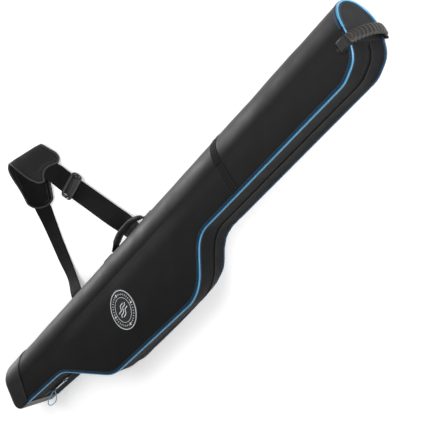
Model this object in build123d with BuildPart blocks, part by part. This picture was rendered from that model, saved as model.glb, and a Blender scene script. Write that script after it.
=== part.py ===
"""Fishing rod case: padded soft case that holds a rod with its reel on.

Frame: the case lies on its far side panel. +X runs along the length from the
butt end to the top end, +Y points to the spine (strap side), +Z is up out of
the near side panel. The origin is the bottom centre of the whole object.
All lengths are in millimetres.
"""
from build123d import *
import math
import os

os.makedirs("parts", exist_ok=True)

# ---------------------------------------------------------------- dimensions
L_TOP = 1345.0        # top end face, measured from the butt corner
THICK = 91.0          # thickness of the case over both side panels
ZC = THICK / 2        # height of the middle plane, where the zip runs
SPINE_A = 55.0        # half axis across the rounded spine section
T_COVER = 2.0         # outer coated fabric
T_PAD = 4.0           # closed-cell foam
T_LINING = 1.0        # inner lining
IN_COVER = T_COVER
IN_PAD = T_COVER + T_PAD
IN_LIN = T_COVER + T_PAD + T_LINING
PIPE_R = 2.5          # piping bead radius
PIPE_IN = 0.5         # bead centre, inside the outline
PANEL_IN = 3.0        # side panel edge, inside the outline
RIM_IN = 5.0          # gusset edge below the panel's outer face
ZIP_HALF = 5.0        # half width of the slot between the gusset halves
SEAM_X = 950.0        # seam between reel section and rod section
BAND_X0, BAND_X1 = 938.0, 960.0   # wrap band over that seam
FLAP_X0, FLAP_X1 = 200.0, 1180.0  # ends of the panel that opens
HINGE_Y = -57.8       # fold line of the opening panel
GAP = 0.3             # clearance between bodies
ZIP_X0 = 84.0         # butt end of the zip
CAP_SPINE_X, CAP_FRONT_X = 84.0, 56.0  # edge of the base cap
WEB_W = 45.0          # shoulder strap webbing
WEB_T = 2.2
PAD_T = 7.0           # shoulder pad
CORD_D = 2.2          # zip pull cord
X0, Y0 = 684.97, 62.45  # the origin, in case coordinates

# side outline: corner points and their rounding, from the spine clockwise
OUTLINE = [
    (6.0, 0.0, 4.0), (1345.0, 0.0, 4.0), (1345.0, -72.0, 55.0),
    (1330.0, -110.0, 40.0), (1287.0, -128.5, 70.0), (811.0, -127.5, 65.0),
    (734.0, -218.0, 95.0), (382.0, -212.0, 110.0), (222.0, -120.0, 90.0),
    (-4.0, -110.0, 28.0),
]


def xy(z):
    """Horizontal plane at height z, in case coordinates."""
    return Plane(origin=(-X0, -Y0, z), x_dir=(1, 0, 0), z_dir=(0, 0, 1))


def yz(x):
    """Plane across the case at station x; its sketch axes are Y and Z."""
    return Plane(origin=(x - X0, -Y0, 0), x_dir=(0, 1, 0), z_dir=(1, 0, 0))


def at(x, y, z):
    """A point given in case coordinates."""
    return Vector(x - X0, y - Y0, z)


def inset(d):
    """The outline moved inward by d: corner points and radii."""
    n = len(OUTLINE)
    lines = []
    for i in range(n):
        x1, y1, _ = OUTLINE[i]
        x2, y2, _ = OUTLINE[(i + 1) % n]
        dx, dy = x2 - x1, y2 - y1
        ln = math.hypot(dx, dy)
        nx, ny = dy / ln, -dx / ln
        k = min(d, 0.0) if i == 0 else d      # the spine side stays put
        lines.append((x1 + nx * k, y1 + ny * k, dx / ln, dy / ln))
    pts, rad = [], []
    for i in range(n):
        ax, ay, ux, uy = lines[i - 1]
        bx, by, vx, vy = lines[i]
        den = ux * vy - uy * vx
        k = ((bx - ax) * vy - (by - ay) * vx) / den
        pts.append((ax + ux * k, ay + uy * k))
        rad.append(max(OUTLINE[i][2] + (d if den > 0 else -d), 1.5))
    return pts, rad


def prism(d, z0, z1, mode=Mode.ADD):
    """Side outline inset by d, as a block from z0 to z1."""
    pts, rad = inset(d)
    with BuildSketch(xy(z0)) as face:
        with BuildLine():
            FilletPolyline(*pts, radius=rad, close=True)
        make_face()
    extrude(face.sketch, amount=z1 - z0, mode=mode)


def section(t, x0, x1, mode=Mode.ADD):
    """Rounded-spine cross-section inset by t, as a block from x0 to x1."""
    with BuildSketch(yz(x0)) as face:
        with Locations((-SPINE_A, ZC)):
            Ellipse(SPINE_A - t, ZC - t)
        with Locations((-SPINE_A - 130, ZC)):
            Rectangle(260, THICK - 2 * t)
    extrude(face.sketch, amount=x1 - x0, mode=mode)


def block(x0, x1, y0, y1, z0, z1, mode=Mode.ADD):
    """Axis-aligned block between two corners."""
    with BuildSketch(xy(z0)) as face:
        with Locations(((x0 + x1) / 2, (y0 + y1) / 2)):
            Rectangle(x1 - x0, y1 - y0)
    extrude(face.sketch, amount=z1 - z0, mode=mode)


def flap_cut(grow, mode):
    """Room of the opening panel; grow widens it on every side."""
    block(FLAP_X0 - grow, FLAP_X1 + grow, -300, HINGE_Y + grow,
          ZC - grow, THICK + 20, mode)


def cap_cut(mode):
    """Everything on the butt side of the slanted base cap edge."""
    with BuildSketch(xy(-20)) as face:
        with BuildLine():
            Polyline((-60, 40), (CAP_SPINE_X + 10, 40), (CAP_SPINE_X, 0),
                     (CAP_FRONT_X, -112), (CAP_FRONT_X - 10, -152),
                     (-60, -152), close=True)
        make_face()
    extrude(face.sketch, amount=THICK + 60, mode=mode)


def keep(part, name, color=None):
    """Label a finished piece and write it."""
    part.label = name
    n = len(part.solids())
    print(f"{name:28s} solids {n}  volume {part.volume / 1000:9.2f} cm3")
    export_step(part, f"parts/{name}.step")


# ---------------------------------------------------------------- covers
with BuildPart() as reel_cover:
    prism(PANEL_IN, 0, THICK)
    section(0, -60, 1500, Mode.INTERSECT)
    section(IN_COVER, -60, 1500, Mode.SUBTRACT)
    block(SEAM_X, 1500, -300, 50, -10, 120, Mode.SUBTRACT)
    cap_cut(Mode.SUBTRACT)
    flap_cut(GAP / 2, Mode.SUBTRACT)
keep(reel_cover.part, "reel_section_cover")

with BuildPart() as rod_cover:
    prism(PANEL_IN, 0, THICK)
    section(0, -60, 1500, Mode.INTERSECT)
    section(IN_COVER, -60, 1500, Mode.SUBTRACT)
    block(-60, SEAM_X, -300, 50, -10, 120, Mode.SUBTRACT)
    flap_cut(GAP / 2, Mode.SUBTRACT)
keep(rod_cover.part, "rod_section_cover")

with BuildPart() as near_reel_panel:
    prism(PANEL_IN, THICK - T_COVER, THICK)
    flap_cut(-GAP / 2, Mode.INTERSECT)
    block(SEAM_X, 1500, -300, 50, -10, 120, Mode.SUBTRACT)
keep(near_reel_panel.part, "near_reel_panel")

with BuildPart() as near_rod_panel:
    prism(PANEL_IN, THICK - T_COVER, THICK)
    flap_cut(-GAP / 2, Mode.INTERSECT)
    block(-60, SEAM_X, -300, 50, -10, 120, Mode.SUBTRACT)
keep(near_rod_panel.part, "near_rod_panel")

# ---------------------------------------------------------------- gusset
GUSSET_Y1 = -84.0     # the gusset meets the end cap here
with BuildPart() as gusset_far:
    prism(0, RIM_IN, THICK - RIM_IN)
    prism(IN_COVER, 0, THICK, Mode.SUBTRACT)
    block(30, 1400, -300, GUSSET_Y1, 0, ZC - ZIP_HALF, Mode.INTERSECT)
    cap_cut(Mode.SUBTRACT)
keep(gusset_far.part, "gusset_far")

with BuildPart() as gusset_butt:
    prism(0, RIM_IN, THICK - RIM_IN)
    prism(IN_COVER, 0, THICK, Mode.SUBTRACT)
    block(30, FLAP_X0 - GAP / 2, -300, GUSSET_Y1, ZC - ZIP_HALF, THICK, Mode.INTERSECT)
    cap_cut(Mode.SUBTRACT)
    block(ZIP_X0, 400, -300, 0, ZC - ZIP_HALF - 1, ZC + ZIP_HALF, Mode.SUBTRACT)
keep(gusset_butt.part, "gusset_near_butt")

with BuildPart() as gusset_top:
    prism(0, RIM_IN, THICK - RIM_IN)
    prism(IN_COVER, 0, THICK, Mode.SUBTRACT)
    block(FLAP_X1 + GAP / 2, 1400, -300, GUSSET_Y1, ZC + ZIP_HALF, THICK, Mode.INTERSECT)
keep(gusset_top.part, "gusset_near_top")

with BuildPart() as gusset_flap:
    prism(0, RIM_IN, THICK - RIM_IN)
    prism(IN_COVER, 0, THICK, Mode.SUBTRACT)
    block(FLAP_X0 + GAP / 2, FLAP_X1 - GAP / 2, -300, GUSSET_Y1,
          ZC + ZIP_HALF, THICK, Mode.INTERSECT)
keep(gusset_flap.part, "gusset_near_flap")

# ---------------------------------------------------------------- end cap
with BuildPart() as end_cap:
    prism(0, 0, THICK)
    prism(IN_COVER, -1, THICK + 1, Mode.SUBTRACT)
    section(RIM_IN + 0.15, -60, 1500, Mode.INTERSECT)
    block(1330, 1400, GUSSET_Y1, 10, 0, THICK, Mode.INTERSECT)
keep(end_cap.part, "end_cap")

# ---------------------------------------------------------------- base cap
def core(outline_in, section_in, z0, z1):
    """The inside of the case at a given depth, as one block."""
    with BuildPart() as inner:
        prism(outline_in, z0, z1)
        section(section_in, -60, 1500, Mode.INTERSECT)
    return inner.part


cover_core = core(IN_COVER, IN_COVER, -1, THICK + 1)
pad_rim = core(IN_COVER, IN_PAD, IN_PAD, THICK - IN_PAD)
pad_core = core(IN_PAD, IN_PAD, 0, THICK)
lining_rim = core(IN_PAD, IN_LIN, IN_LIN, THICK - IN_LIN)
lining_core = core(IN_LIN, IN_LIN, 0, THICK)

with BuildPart() as base_cap:
    prism(-1.6, 0, THICK + 1.6)
    section(-1.6, -60, 1500, Mode.INTERSECT)
    block(-60, 400, -300, 60, 0, THICK + 10, Mode.INTERSECT)
    cap_cut(Mode.INTERSECT)
    add(cover_core, mode=Mode.SUBTRACT)
keep(base_cap.part, "base_cap")


# ---------------------------------------------------------------- padding, lining
def layer(outer_in, panel_in, rim, hollow):
    """One inner layer, closed all round: side panels, spine and rim."""
    prism(panel_in, 0, THICK)
    section(outer_in, -60, 1500, Mode.INTERSECT)
    add(rim)
    add(hollow, mode=Mode.SUBTRACT)


def zip_room(mode=Mode.SUBTRACT):
    """Room left in the padding behind the zip tapes."""
    block(ZIP_X0, 1400, -300, GUSSET_Y1, ZC - 15, ZC + 15, mode)


with BuildPart() as padding_fixed:
    layer(IN_COVER, PANEL_IN, pad_rim, pad_core)
    flap_cut(GAP / 2, Mode.SUBTRACT)
    zip_room()
keep(padding_fixed.part, "padding_fixed")

with BuildPart() as padding_flap:
    layer(IN_COVER, PANEL_IN, pad_rim, pad_core)
    flap_cut(-GAP / 2, Mode.INTERSECT)
    zip_room()
keep(padding_flap.part, "padding_flap")

with BuildPart() as lining_fixed:
    layer(IN_PAD, IN_PAD, lining_rim, lining_core)
    flap_cut(GAP / 2, Mode.SUBTRACT)
keep(lining_fixed.part, "lining_fixed")

with BuildPart() as lining_flap:
    layer(IN_PAD, IN_PAD, lining_rim, lining_core)
    flap_cut(-GAP / 2, Mode.INTERSECT)
keep(lining_flap.part, "lining_flap")

# ---------------------------------------------------------------- wrap band
with BuildPart() as band_fixed:
    section(-1.0, BAND_X0, BAND_X1)
    section(0, BAND_X0 - 1, BAND_X1 + 1, Mode.SUBTRACT)
    block(900, 1000, HINGE_Y + GAP / 2, 20, 14, THICK + 10, Mode.INTERSECT)
keep(band_fixed.part, "seam_band_spine")

with BuildPart() as band_flap:
    prism(PANEL_IN, THICK, THICK + 1.0)
    block(BAND_X0, BAND_X1, -300, HINGE_Y - 1.3, THICK, THICK + 1.0, Mode.INTERSECT)
keep(band_flap.part, "seam_band_flap")


# ---------------------------------------------------------------- piping
PIN, PRAD = inset(PIPE_IN)
FRONT = [(PIN[i], PRAD[i]) for i in (8, 7, 6, 5, 4, 3, 2)]   # butt to top
FX, FY = PIN[9]                                               # butt corner


def y_front(x):
    """Y of the piping line on its straight runs."""
    chain = [PIN[9]] + [p for p, _ in FRONT]
    for (ax, ay), (bx, by) in zip(chain, chain[1:]):
        if min(ax, bx) <= x <= max(ax, bx):
            return ay + (by - ay) * (x - ax) / (bx - ax)
    return chain[-1][1]


PIPE_Z_FAR, PIPE_Z_NEAR = PIPE_R, THICK - PIPE_R
PIPE_START_X = 60.0


def p3(p, z):
    return (p[0] - X0, p[1] - Y0, z)


with BuildPart() as piping_butt:
    a = (PIPE_START_X, y_front(PIPE_START_X))
    b = (FLAP_X0 - 0.3, y_front(FLAP_X0 - 0.3))
    # the bend into the reel section starts before the opening panel does
    with BuildLine() as pl:
        FilletPolyline(p3(a, PIPE_Z_NEAR), p3(FRONT[0][0], PIPE_Z_NEAR),
                       p3(FRONT[1][0], PIPE_Z_NEAR), radius=FRONT[0][1])
    with BuildSketch(Plane(origin=pl.line @ 0, z_dir=pl.line % 0)):
        Circle(PIPE_R)
    sweep(path=pl.line)
    block(0, FLAP_X0 - GAP / 2, -300, 0, 0, THICK + 5, Mode.INTERSECT)
keep(piping_butt.part, "piping_near_butt")

with BuildPart() as piping_flap:
    a = (150.0, y_front(150.0))
    b = (1250.0, y_front(1250.0))
    with BuildLine() as pl:
        FilletPolyline(p3(a, PIPE_Z_NEAR), *[p3(FRONT[i][0], PIPE_Z_NEAR) for i in range(4)],
                       p3(b, PIPE_Z_NEAR), radius=[FRONT[i][1] for i in range(4)])
    with BuildSketch(Plane(origin=pl.line @ 0, z_dir=pl.line % 0)):
        Circle(PIPE_R)
    sweep(path=pl.line)
    block(FLAP_X0 + GAP / 2, FLAP_X1 - GAP / 2, -300, 0, 0, THICK + 5, Mode.INTERSECT)
keep(piping_flap.part, "piping_near_flap")

XE = L_TOP - PIPE_IN
EA, EB = SPINE_A - PIPE_R, ZC - PIPE_R
with BuildPart() as piping_top:
    # near side from the flap's end, round the front corner to the end face
    with BuildLine() as pl:
        l1 = FilletPolyline(p3((FLAP_X1 + 0.2, y_front(FLAP_X1 + 0.2)), PIPE_Z_NEAR),
                            *[p3(FRONT[i][0], PIPE_Z_NEAR) for i in (4, 5, 6)],
                            p3((XE, -SPINE_A), PIPE_Z_NEAR),
                            radius=[FRONT[i][1] for i in (4, 5, 6)])
    with BuildSketch(Plane(origin=pl.line @ 0, z_dir=pl.line % 0)):
        Circle(PIPE_R)
    sweep(path=pl.line)
keep(piping_top.part, "piping_near_top")

with BuildPart() as piping_end:
    # over the spine, round the rounded edge of the end cap
    with BuildLine(yz(XE)) as pl:
        EllipticalCenterArc((-SPINE_A, ZC), EA, EB, start_angle=-90, arc_size=180)
    with BuildSketch(Plane(origin=pl.line @ 0, z_dir=pl.line % 0)):
        Circle(PIPE_R)
    sweep(path=pl.line)
keep(piping_end.part, "piping_end")

with BuildPart() as piping_far:
    with BuildLine() as pl:
        FilletPolyline(p3((PIPE_START_X, y_front(PIPE_START_X)), PIPE_Z_FAR),
                       *[p3(FRONT[i][0], PIPE_Z_FAR) for i in range(7)],
                       p3((XE, -SPINE_A), PIPE_Z_FAR),
                       radius=[FRONT[i][1] for i in range(7)])
    with BuildSketch(Plane(origin=pl.line @ 0, z_dir=pl.line % 0)):
        Circle(PIPE_R)
    sweep(path=pl.line)
keep(piping_far.part, "piping_far")


# ---------------------------------------------------------------- zip
def strip(d0, d1, z0, z1):
    """A strip that follows the front of the case between two insets."""
    prism(d0, z0, z1)
    prism(d1, z0 - 1, z1 + 1, Mode.SUBTRACT)


with BuildPart() as tape_far:
    strip(2.0, 3.0, ZC - 14, ZC - 1.8)
    block(ZIP_X0, 1400, -300, GUSSET_Y1, 0, THICK, Mode.INTERSECT)
keep(tape_far.part, "zip_tape_far")

with BuildPart() as tape_butt:
    strip(2.0, 3.0, ZC + 1.8, ZC + 14)
    block(ZIP_X0, FLAP_X0 - GAP / 2, -300, GUSSET_Y1, 0, THICK, Mode.INTERSECT)
keep(tape_butt.part, "zip_tape_near_butt")

with BuildPart() as tape_flap:
    strip(2.0, 3.0, ZC + 1.8, ZC + 14)
    block(FLAP_X0 + GAP / 2, FLAP_X1 - GAP / 2, -300, GUSSET_Y1, 0, THICK, Mode.INTERSECT)
keep(tape_flap.part, "zip_tape_near_flap")

with BuildPart() as tape_top:
    strip(2.0, 3.0, ZC + 1.8, ZC + 14)
    block(FLAP_X1 + GAP / 2, 1400, -300, GUSSET_Y1, 0, THICK, Mode.INTERSECT)
keep(tape_top.part, "zip_tape_near_top")

COIL_X0 = 92.0
with BuildPart() as coil_far:
    strip(0.2, 2.0, ZC - 3.2, ZC - GAP / 2)
    block(COIL_X0, 1400, -300, GUSSET_Y1 - 6, 0, THICK, Mode.INTERSECT)
keep(coil_far.part, "zip_coil_far")

with BuildPart() as coil_butt:
    strip(0.2, 2.0, ZC + GAP / 2, ZC + 3.2)
    block(COIL_X0, FLAP_X0 - GAP / 2, -300, GUSSET_Y1 - 6, 0, THICK, Mode.INTERSECT)
keep(coil_butt.part, "zip_coil_near_butt")

with BuildPart() as coil_flap:
    strip(0.2, 2.0, ZC + GAP / 2, ZC + 3.2)
    block(FLAP_X0 + GAP / 2, FLAP_X1 - GAP / 2, -300, GUSSET_Y1, 0, THICK, Mode.INTERSECT)
keep(coil_flap.part, "zip_coil_near_flap")

with BuildPart() as coil_top:
    strip(0.2, 2.0, ZC + GAP / 2, ZC + 3.2)
    block(FLAP_X1 + GAP / 2, 1400, -300, GUSSET_Y1 - 6, 0, THICK, Mode.INTERSECT)
keep(coil_top.part, "zip_coil_near_top")

with BuildPart() as stop_butt:
    strip(0.1, 2.0, ZC - 3.6, ZC + 3.6)
    block(COIL_X0 - 6, COIL_X0, -300, GUSSET_Y1, 0, THICK, Mode.INTERSECT)
keep(stop_butt.part, "zip_stop_butt")

with BuildPart() as stop_top:
    strip(0.1, 2.0, ZC - 3.6, ZC + 3.6)
    block(1300, 1400, GUSSET_Y1 - 6, GUSSET_Y1 - 0.5, 0, THICK, Mode.INTERSECT)
keep(stop_top.part, "zip_stop_top")

# slider, on the straight run of the gusset near the butt
SL_X = 160.0
BX, BY = OUTLINE[8][0], OUTLINE[8][1]
CX_, CY_ = OUTLINE[9][0], OUTLINE[9][1]
RUN = math.hypot(BX - CX_, BY - CY_)
TX, TY = (BX - CX_) / RUN, (BY - CY_) / RUN
SL_Y = BY + (SL_X - BX) * TY / TX


def on_zip(dx, dz=0.0):
    """Plane on the gusset face: sketch X along the zip, Y up, normal outward."""
    ox, oy = SL_X + TX * dx + TY * dz, SL_Y + TY * dx - TX * dz
    return Plane(origin=(ox - X0, oy - Y0, ZC), x_dir=(TX, TY, 0), z_dir=(TY, -TX, 0))


with BuildPart() as slider:
    with BuildSketch(on_zip(0, 0.4)):
        RectangleRounded(15, 9.2, 2.2)
    extrude(amount=1.8)
    for s in (-1, 1):
        with BuildSketch(on_zip(0, -1.5)):
            with Locations((0, s * 4.1)):
                Rectangle(12, 0.9)
        extrude(amount=2.2)
    with BuildSketch(on_zip(0, 2.1)):
        Rectangle(9, 2.4)
    extrude(amount=4.1)
    with BuildSketch(on_zip(0, 2.2)):
        Rectangle(5.0, 6)
    extrude(amount=2.7, mode=Mode.SUBTRACT)
keep(slider.part, "zip_slider")

PIN_H = 3.55          # height of the puller's pin over the gusset
with BuildPart() as puller:
    with BuildSketch(on_zip(-29, PIN_H - 0.9)):
        RectangleRounded(42, 6.4, 2.4)
        with Locations((-16, 0)):
            Circle(1.7, mode=Mode.SUBTRACT)
    extrude(amount=1.8)
    for s in (-1, 1):
        with BuildSketch(on_zip(-5.0, PIN_H - 0.9)):
            with Locations((0, s * 2.3)):
                Rectangle(10.0, 1.2)
        extrude(amount=1.8)
    pin_plane = Plane(origin=at(SL_X + TY * PIN_H, SL_Y - TX * PIN_H, ZC - 2.9), z_dir=(0, 0, 1))
    with BuildSketch(pin_plane):
        Circle(0.9)
    extrude(amount=5.8)
keep(puller.part, "zip_puller")

# cord knot at the end of the puller, and the loop of cord
KN = (SL_X + TX * (-53.0) + TY * PIN_H, SL_Y + TY * (-53.0) - TX * PIN_H)
with BuildPart() as knot:
    with BuildSketch(Plane(origin=at(KN[0] + 2.6, KN[1], ZC), x_dir=(0, 1, 0), z_dir=(-1, 0, 0))):
        RectangleRounded(4.6, 6.6, 1.6)
    extrude(amount=6.0)
    fillet(knot.edges().filter_by(Axis.X, reverse=True), 0.8)
keep(knot.part, "cord_knot")

LOOP = [(0.0, 0.0, 1.45), (-8.0, -2.4, 2.6), (-19.0, -7.0, 6.6), (-31.0, -13.6, 9.4),
        (-40.5, -18.8, 4.6), (-42.0, -20.4, -5.0), (-33.5, -17.2, -13.6),
        (-20.0, -10.2, -11.6), (-8.5, -3.8, -4.8), (0.0, 0.0, -1.45)]
LOOP_PTS = [at(KN[0] - 3.4 + p[0], KN[1] + p[1], ZC + p[2]) for p in LOOP]


def corner_radii(points, factor=0.45):
    out = []
    for a, b, c in zip(points, points[1:], points[2:]):
        u, v = b - a, c - b
        turn = math.radians(u.get_angle(v))
        out.append(factor * min(u.length, v.length) / math.tan(turn / 2))
    return out


LOOP_R = corner_radii(LOOP_PTS)
print("cord loop radii", [round(r, 1) for r in LOOP_R])
with BuildPart() as cord:
    with BuildLine() as pl:
        FilletPolyline(*LOOP_PTS, radius=LOOP_R)
    with BuildSketch(Plane(origin=pl.line @ 0, z_dir=pl.line % 0)):
        Circle(CORD_D / 2)
    sweep(path=pl.line)
CORD_LEN = sum(e.length for e in pl.edges())
print("cord length", round(CORD_LEN, 1), "volume ratio",
      round(cord.part.volume / (math.pi * CORD_D ** 2 / 4 * CORD_LEN), 4))
print("cord points m", [tuple(round(v / 1000, 5) for v in (p.X, p.Y, p.Z)) for p in LOOP_PTS])
keep(cord.part, "zip_pull_cord")

# ---------------------------------------------------------------- badge
BADGE = (517.0, -126.0, 43.0)
with BuildPart() as badge:
    with BuildSketch(xy(THICK)):
        with Locations((BADGE[0], BADGE[1])):
            Circle(BADGE[2])
    extrude(amount=0.7)
keep(badge.part, "badge")

# ---------------------------------------------------------------- carry handle
CH_X = 588.0
for nm, xa, xb in (("carry_handle_anchor_lower", 486.0, 519.0),
                   ("carry_handle_anchor_upper", 657.0, 690.0)):
    with BuildPart() as anchor:
        section(-2.0, xa, xb)
        section(0, xa - 1, xb + 1, Mode.SUBTRACT)
        block(xa, xb, -20, 20, ZC - 13, ZC + 13, Mode.INTERSECT)
    keep(anchor.part, nm)

HX0, HX1 = 521.0, 655.0
HANDLE_CUT = 10.5     # the tongue of the anchor ends here, past the handle's end
HPTS = [at(HX0, 3.2, ZC), at(HX0 + 20, 15.5, ZC), at(CH_X - 22, 22.6, ZC),
        at(CH_X + 22, 22.6, ZC), at(HX1 - 20, 15.5, ZC), at(HX1, 3.2, ZC)]
HR = corner_radii(HPTS)
with BuildPart() as handle_core:
    with BuildLine() as pl:
        FilletPolyline(*HPTS, radius=HR)
    with BuildSketch(Plane(origin=pl.line @ 0, x_dir=(0, 0, 1), z_dir=pl.line % 0)):
        Rectangle(16, 2.4)
    sweep(path=pl.line)
    block(HX0 + HANDLE_CUT, HX1 - HANDLE_CUT, -10, 60, 0, THICK, Mode.INTERSECT)
keep(handle_core.part, "carry_handle_webbing")

for nm, xa, xb in (("carry_handle_tongue_lower", HX0 - 5, HX0 + HANDLE_CUT - 0.3),
                   ("carry_handle_tongue_upper", HX1 - HANDLE_CUT + 0.3, HX1 + 5)):
    with BuildPart() as tongue:
        with BuildLine() as pl:
            FilletPolyline(*HPTS, radius=HR)
        with BuildSketch(Plane(origin=pl.line @ 0, x_dir=(0, 0, 1), z_dir=pl.line % 0)):
            Rectangle(16, 2.4)
        sweep(path=pl.line)
        block(xa, xb, -10, 60, 0, THICK, Mode.INTERSECT)
        section(0, xa - 10, xb + 10, Mode.SUBTRACT)
    keep(tongue.part, nm)

with BuildPart() as handle_grip:
    with BuildLine() as pl:
        FilletPolyline(*HPTS, radius=HR)
    with BuildSketch(Plane(origin=pl.line @ 0, x_dir=(0, 0, 1), z_dir=pl.line % 0)):
        Ellipse(10.5, 5.5)
        Rectangle(16, 2.4, mode=Mode.SUBTRACT)
    sweep(path=pl.line)
    block(HX0 + 14, HX1 - 14, -10, 60, 0, THICK, Mode.INTERSECT)
keep(handle_grip.part, "carry_handle_grip")

# ---------------------------------------------------------------- grab handle
GH_Y = -80.0
for nm, z0, z1 in (("grab_handle_anchor_near", THICK, THICK + 3.0),):
    with BuildPart() as anchor:
        with BuildSketch(xy(z0)):
            with BuildLine():
                Polyline((1341.5, GH_Y + 10), (1341.5, GH_Y - 8), (1322, GH_Y - 10),
                         (1314, GH_Y), (1322, GH_Y + 10), close=True)
            make_face()
        extrude(amount=z1 - z0)
    keep(anchor.part, nm)

with BuildPart() as anchor_far:
    with BuildSketch(xy(0.0)):
        with BuildLine():
            Polyline((1349.0, GH_Y + 10), (1349.0, GH_Y - 8), (1346.3, GH_Y - 8),
                     (1346.3, GH_Y + 10), close=True)
        make_face()
    extrude(amount=10.0)
keep(anchor_far.part, "grab_handle_anchor_far")

# the grip stands off the end face in an arch, from the near edge to the far edge
GX = L_TOP + 2.5
GPTS = [at(GX + 4, GH_Y, THICK - 5.5), at(GX + 15, GH_Y, THICK - 15), at(GX + 21, GH_Y, THICK - 33),
        at(GX + 21, GH_Y, 34), at(GX + 15, GH_Y, 20), at(GX + 4, GH_Y, 11.0)]
GR = corner_radii(GPTS)
with BuildPart() as grab_core:
    with BuildLine() as pl:
        FilletPolyline(*GPTS, radius=GR)
    with BuildSketch(Plane(origin=pl.line @ 0, x_dir=(0, 1, 0), z_dir=pl.line % 0)):
        Rectangle(15, 2.4)
    sweep(path=pl.line)
keep(grab_core.part, "grab_handle_webbing")

with BuildPart() as grab_grip:
    with BuildLine() as pl:
        FilletPolyline(*GPTS, radius=GR)
    with BuildSketch(Plane(origin=pl.line @ 0, x_dir=(0, 1, 0), z_dir=pl.line % 0)):
        RectangleRounded(22, 9, 3.8)
        Rectangle(15, 2.4, mode=Mode.SUBTRACT)
    sweep(path=pl.line)
    block(1300, 1400, -120, -40, 15, THICK - 9.5, Mode.INTERSECT)
keep(grab_grip.part, "grab_handle_grip")


# ---------------------------------------------------------------- shoulder strap
def ribbon(stations, thick):
    """Flat strap through stations (centre, width direction, width)."""
    frames = []
    n = len(stations)
    for i, (c, w, width) in enumerate(stations):
        a = Vector(*stations[max(i - 1, 0)][0])
        b = Vector(*stations[min(i + 1, n - 1)][0])
        wv = Vector(*w).normalized()
        t = b - a
        t = (t - wv * t.dot(wv)).normalized()
        frames.append((at(*c), wv, t, width))
    faces = []
    for o, wv, t, width in frames:
        with BuildSketch(Plane(origin=o, x_dir=wv, z_dir=t)) as face:
            Rectangle(width, thick)
        faces.append(face.sketch)
    loft(sections=faces, ruled=True)


W_LOW = WEB_W
ARM_LOW = [((316, -1.5, 25.5), (1, 0, 0), W_LOW), ((314, 16, 25), (0.99, -0.12, 0), W_LOW),
           ((305, 54, 9.5), (0.90, -0.41, 0.12), W_LOW), ((302, 102, 3.2), (0.905, -0.42, 0.02), W_LOW),
           ((308, 149, 3.6), (0.924, -0.38, -0.04), W_LOW), ((317.5, 195, 6.0), (0.90, -0.39, -0.16), W_LOW),
           ((325.6, 228.6, 9.4), (0.87, -0.37, -0.30), W_LOW)]
ARM_UP = [((583, -1.5, 25.5), (1, 0, 0), WEB_W), ((575, 12, 19.5), (0.97, 0.17, -0.12), WEB_W),
          ((556, 42, 14.0), (0.87, 0.45, -0.26), WEB_W), ((535.5, 78.6, 17.5), (0.79, 0.45, -0.42), WEB_W),
          ((450.5, 221.6, 17.5), (0.79, 0.45, -0.42), WEB_W), ((433.0, 256, 19.0), (0.76, 0.36, -0.54), WEB_W - 1),
          ((427.0, 270.0, 21.4), (0.77, 0.31, -0.56), WEB_W - 3)]
PAD = [((424, 267, 21), (0.80, 0.36, -0.50), 66), ((419.5, 285, 29.3), (0.75, 0.24, -0.62), 84),
       ((409, 310, 35.3), (0.75, 0.12, -0.65), 85), ((397, 332, 36.3), (0.77, 0.03, -0.64), 85),
       ((388, 341, 34.3), (0.78, 0.00, -0.62), 85), ((379, 339, 32.3), (0.77, -0.02, -0.64), 85),
       ((373, 327, 32.3), (0.74, -0.14, -0.66), 85), ((366, 304, 31.3), (0.70, -0.33, -0.63), 83),
       ((354, 274, 24.6), (0.77, -0.45, -0.45), 80), ((341, 254, 18), (0.83, -0.46, -0.32), 76),
       ((332, 240, 14), (0.87, -0.40, -0.29), 66), ((328, 233, 12.3), (0.88, -0.38, -0.27), 50)]

with BuildPart() as arm_low:
    ribbon(ARM_LOW, WEB_T)
keep(arm_low.part, "strap_lower_arm")

with BuildPart() as arm_up:
    ribbon(ARM_UP, WEB_T)
keep(arm_up.part, "strap_upper_arm")

with BuildPart() as pad:
    ribbon(PAD, PAD_T)
    # notch at the end where the webbing comes out
    c, w, _ = PAD[0]
    wv = Vector(*w).normalized()
    t = Vector(-5, 18, 8)
    t = (t - wv * t.dot(wv)).normalized()
    with BuildSketch(Plane(origin=at(*c) - t * 6, x_dir=wv, z_dir=t)):
        Rectangle(WEB_W + 3, 18)
    extrude(amount=21, mode=Mode.SUBTRACT)
keep(pad.part, "shoulder_pad")

# sewn tabs that hold the two ends of the strap on the spine
for nm, xa, xb, z0, z1 in (("strap_tab_lower", 288.0, 344.0, 12.0, 38.0),
                           ("strap_tab_upper", 556.0, 610.0, 11.0, 34.0)):
    with BuildPart() as tab:
        section(-2.0, xa, xb)
        section(0, xa - 1, xb + 1, Mode.SUBTRACT)
        block(xa, xb, -45, 20, z0, z1, Mode.INTERSECT)
    keep(tab.part, nm)

# slide buckle: the webbing runs over the middle bar and under the outer bars
TG_C = Vector(*ARM_UP[4][0]) + (Vector(*ARM_UP[3][0]) - Vector(*ARM_UP[4][0])).normalized() * 24
TG_T = (Vector(*ARM_UP[3][0]) - Vector(*ARM_UP[4][0])).normalized()
TG_W = Vector(*ARM_UP[4][1]).normalized()
TG_W = (TG_W - TG_T * TG_W.dot(TG_T)).normalized()
TG_N = TG_T.cross(TG_W) * -1
if TG_N.Z < 0:
    TG_N = TG_N * -1
TG_L, TG_SPAN = 34.0, 58.0


def on_buckle(dn, dt=0.0):
    o = TG_C + TG_N * dn + TG_T * dt
    return Plane(origin=at(o.X, o.Y, o.Z), x_dir=TG_W, z_dir=TG_N)


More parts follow.
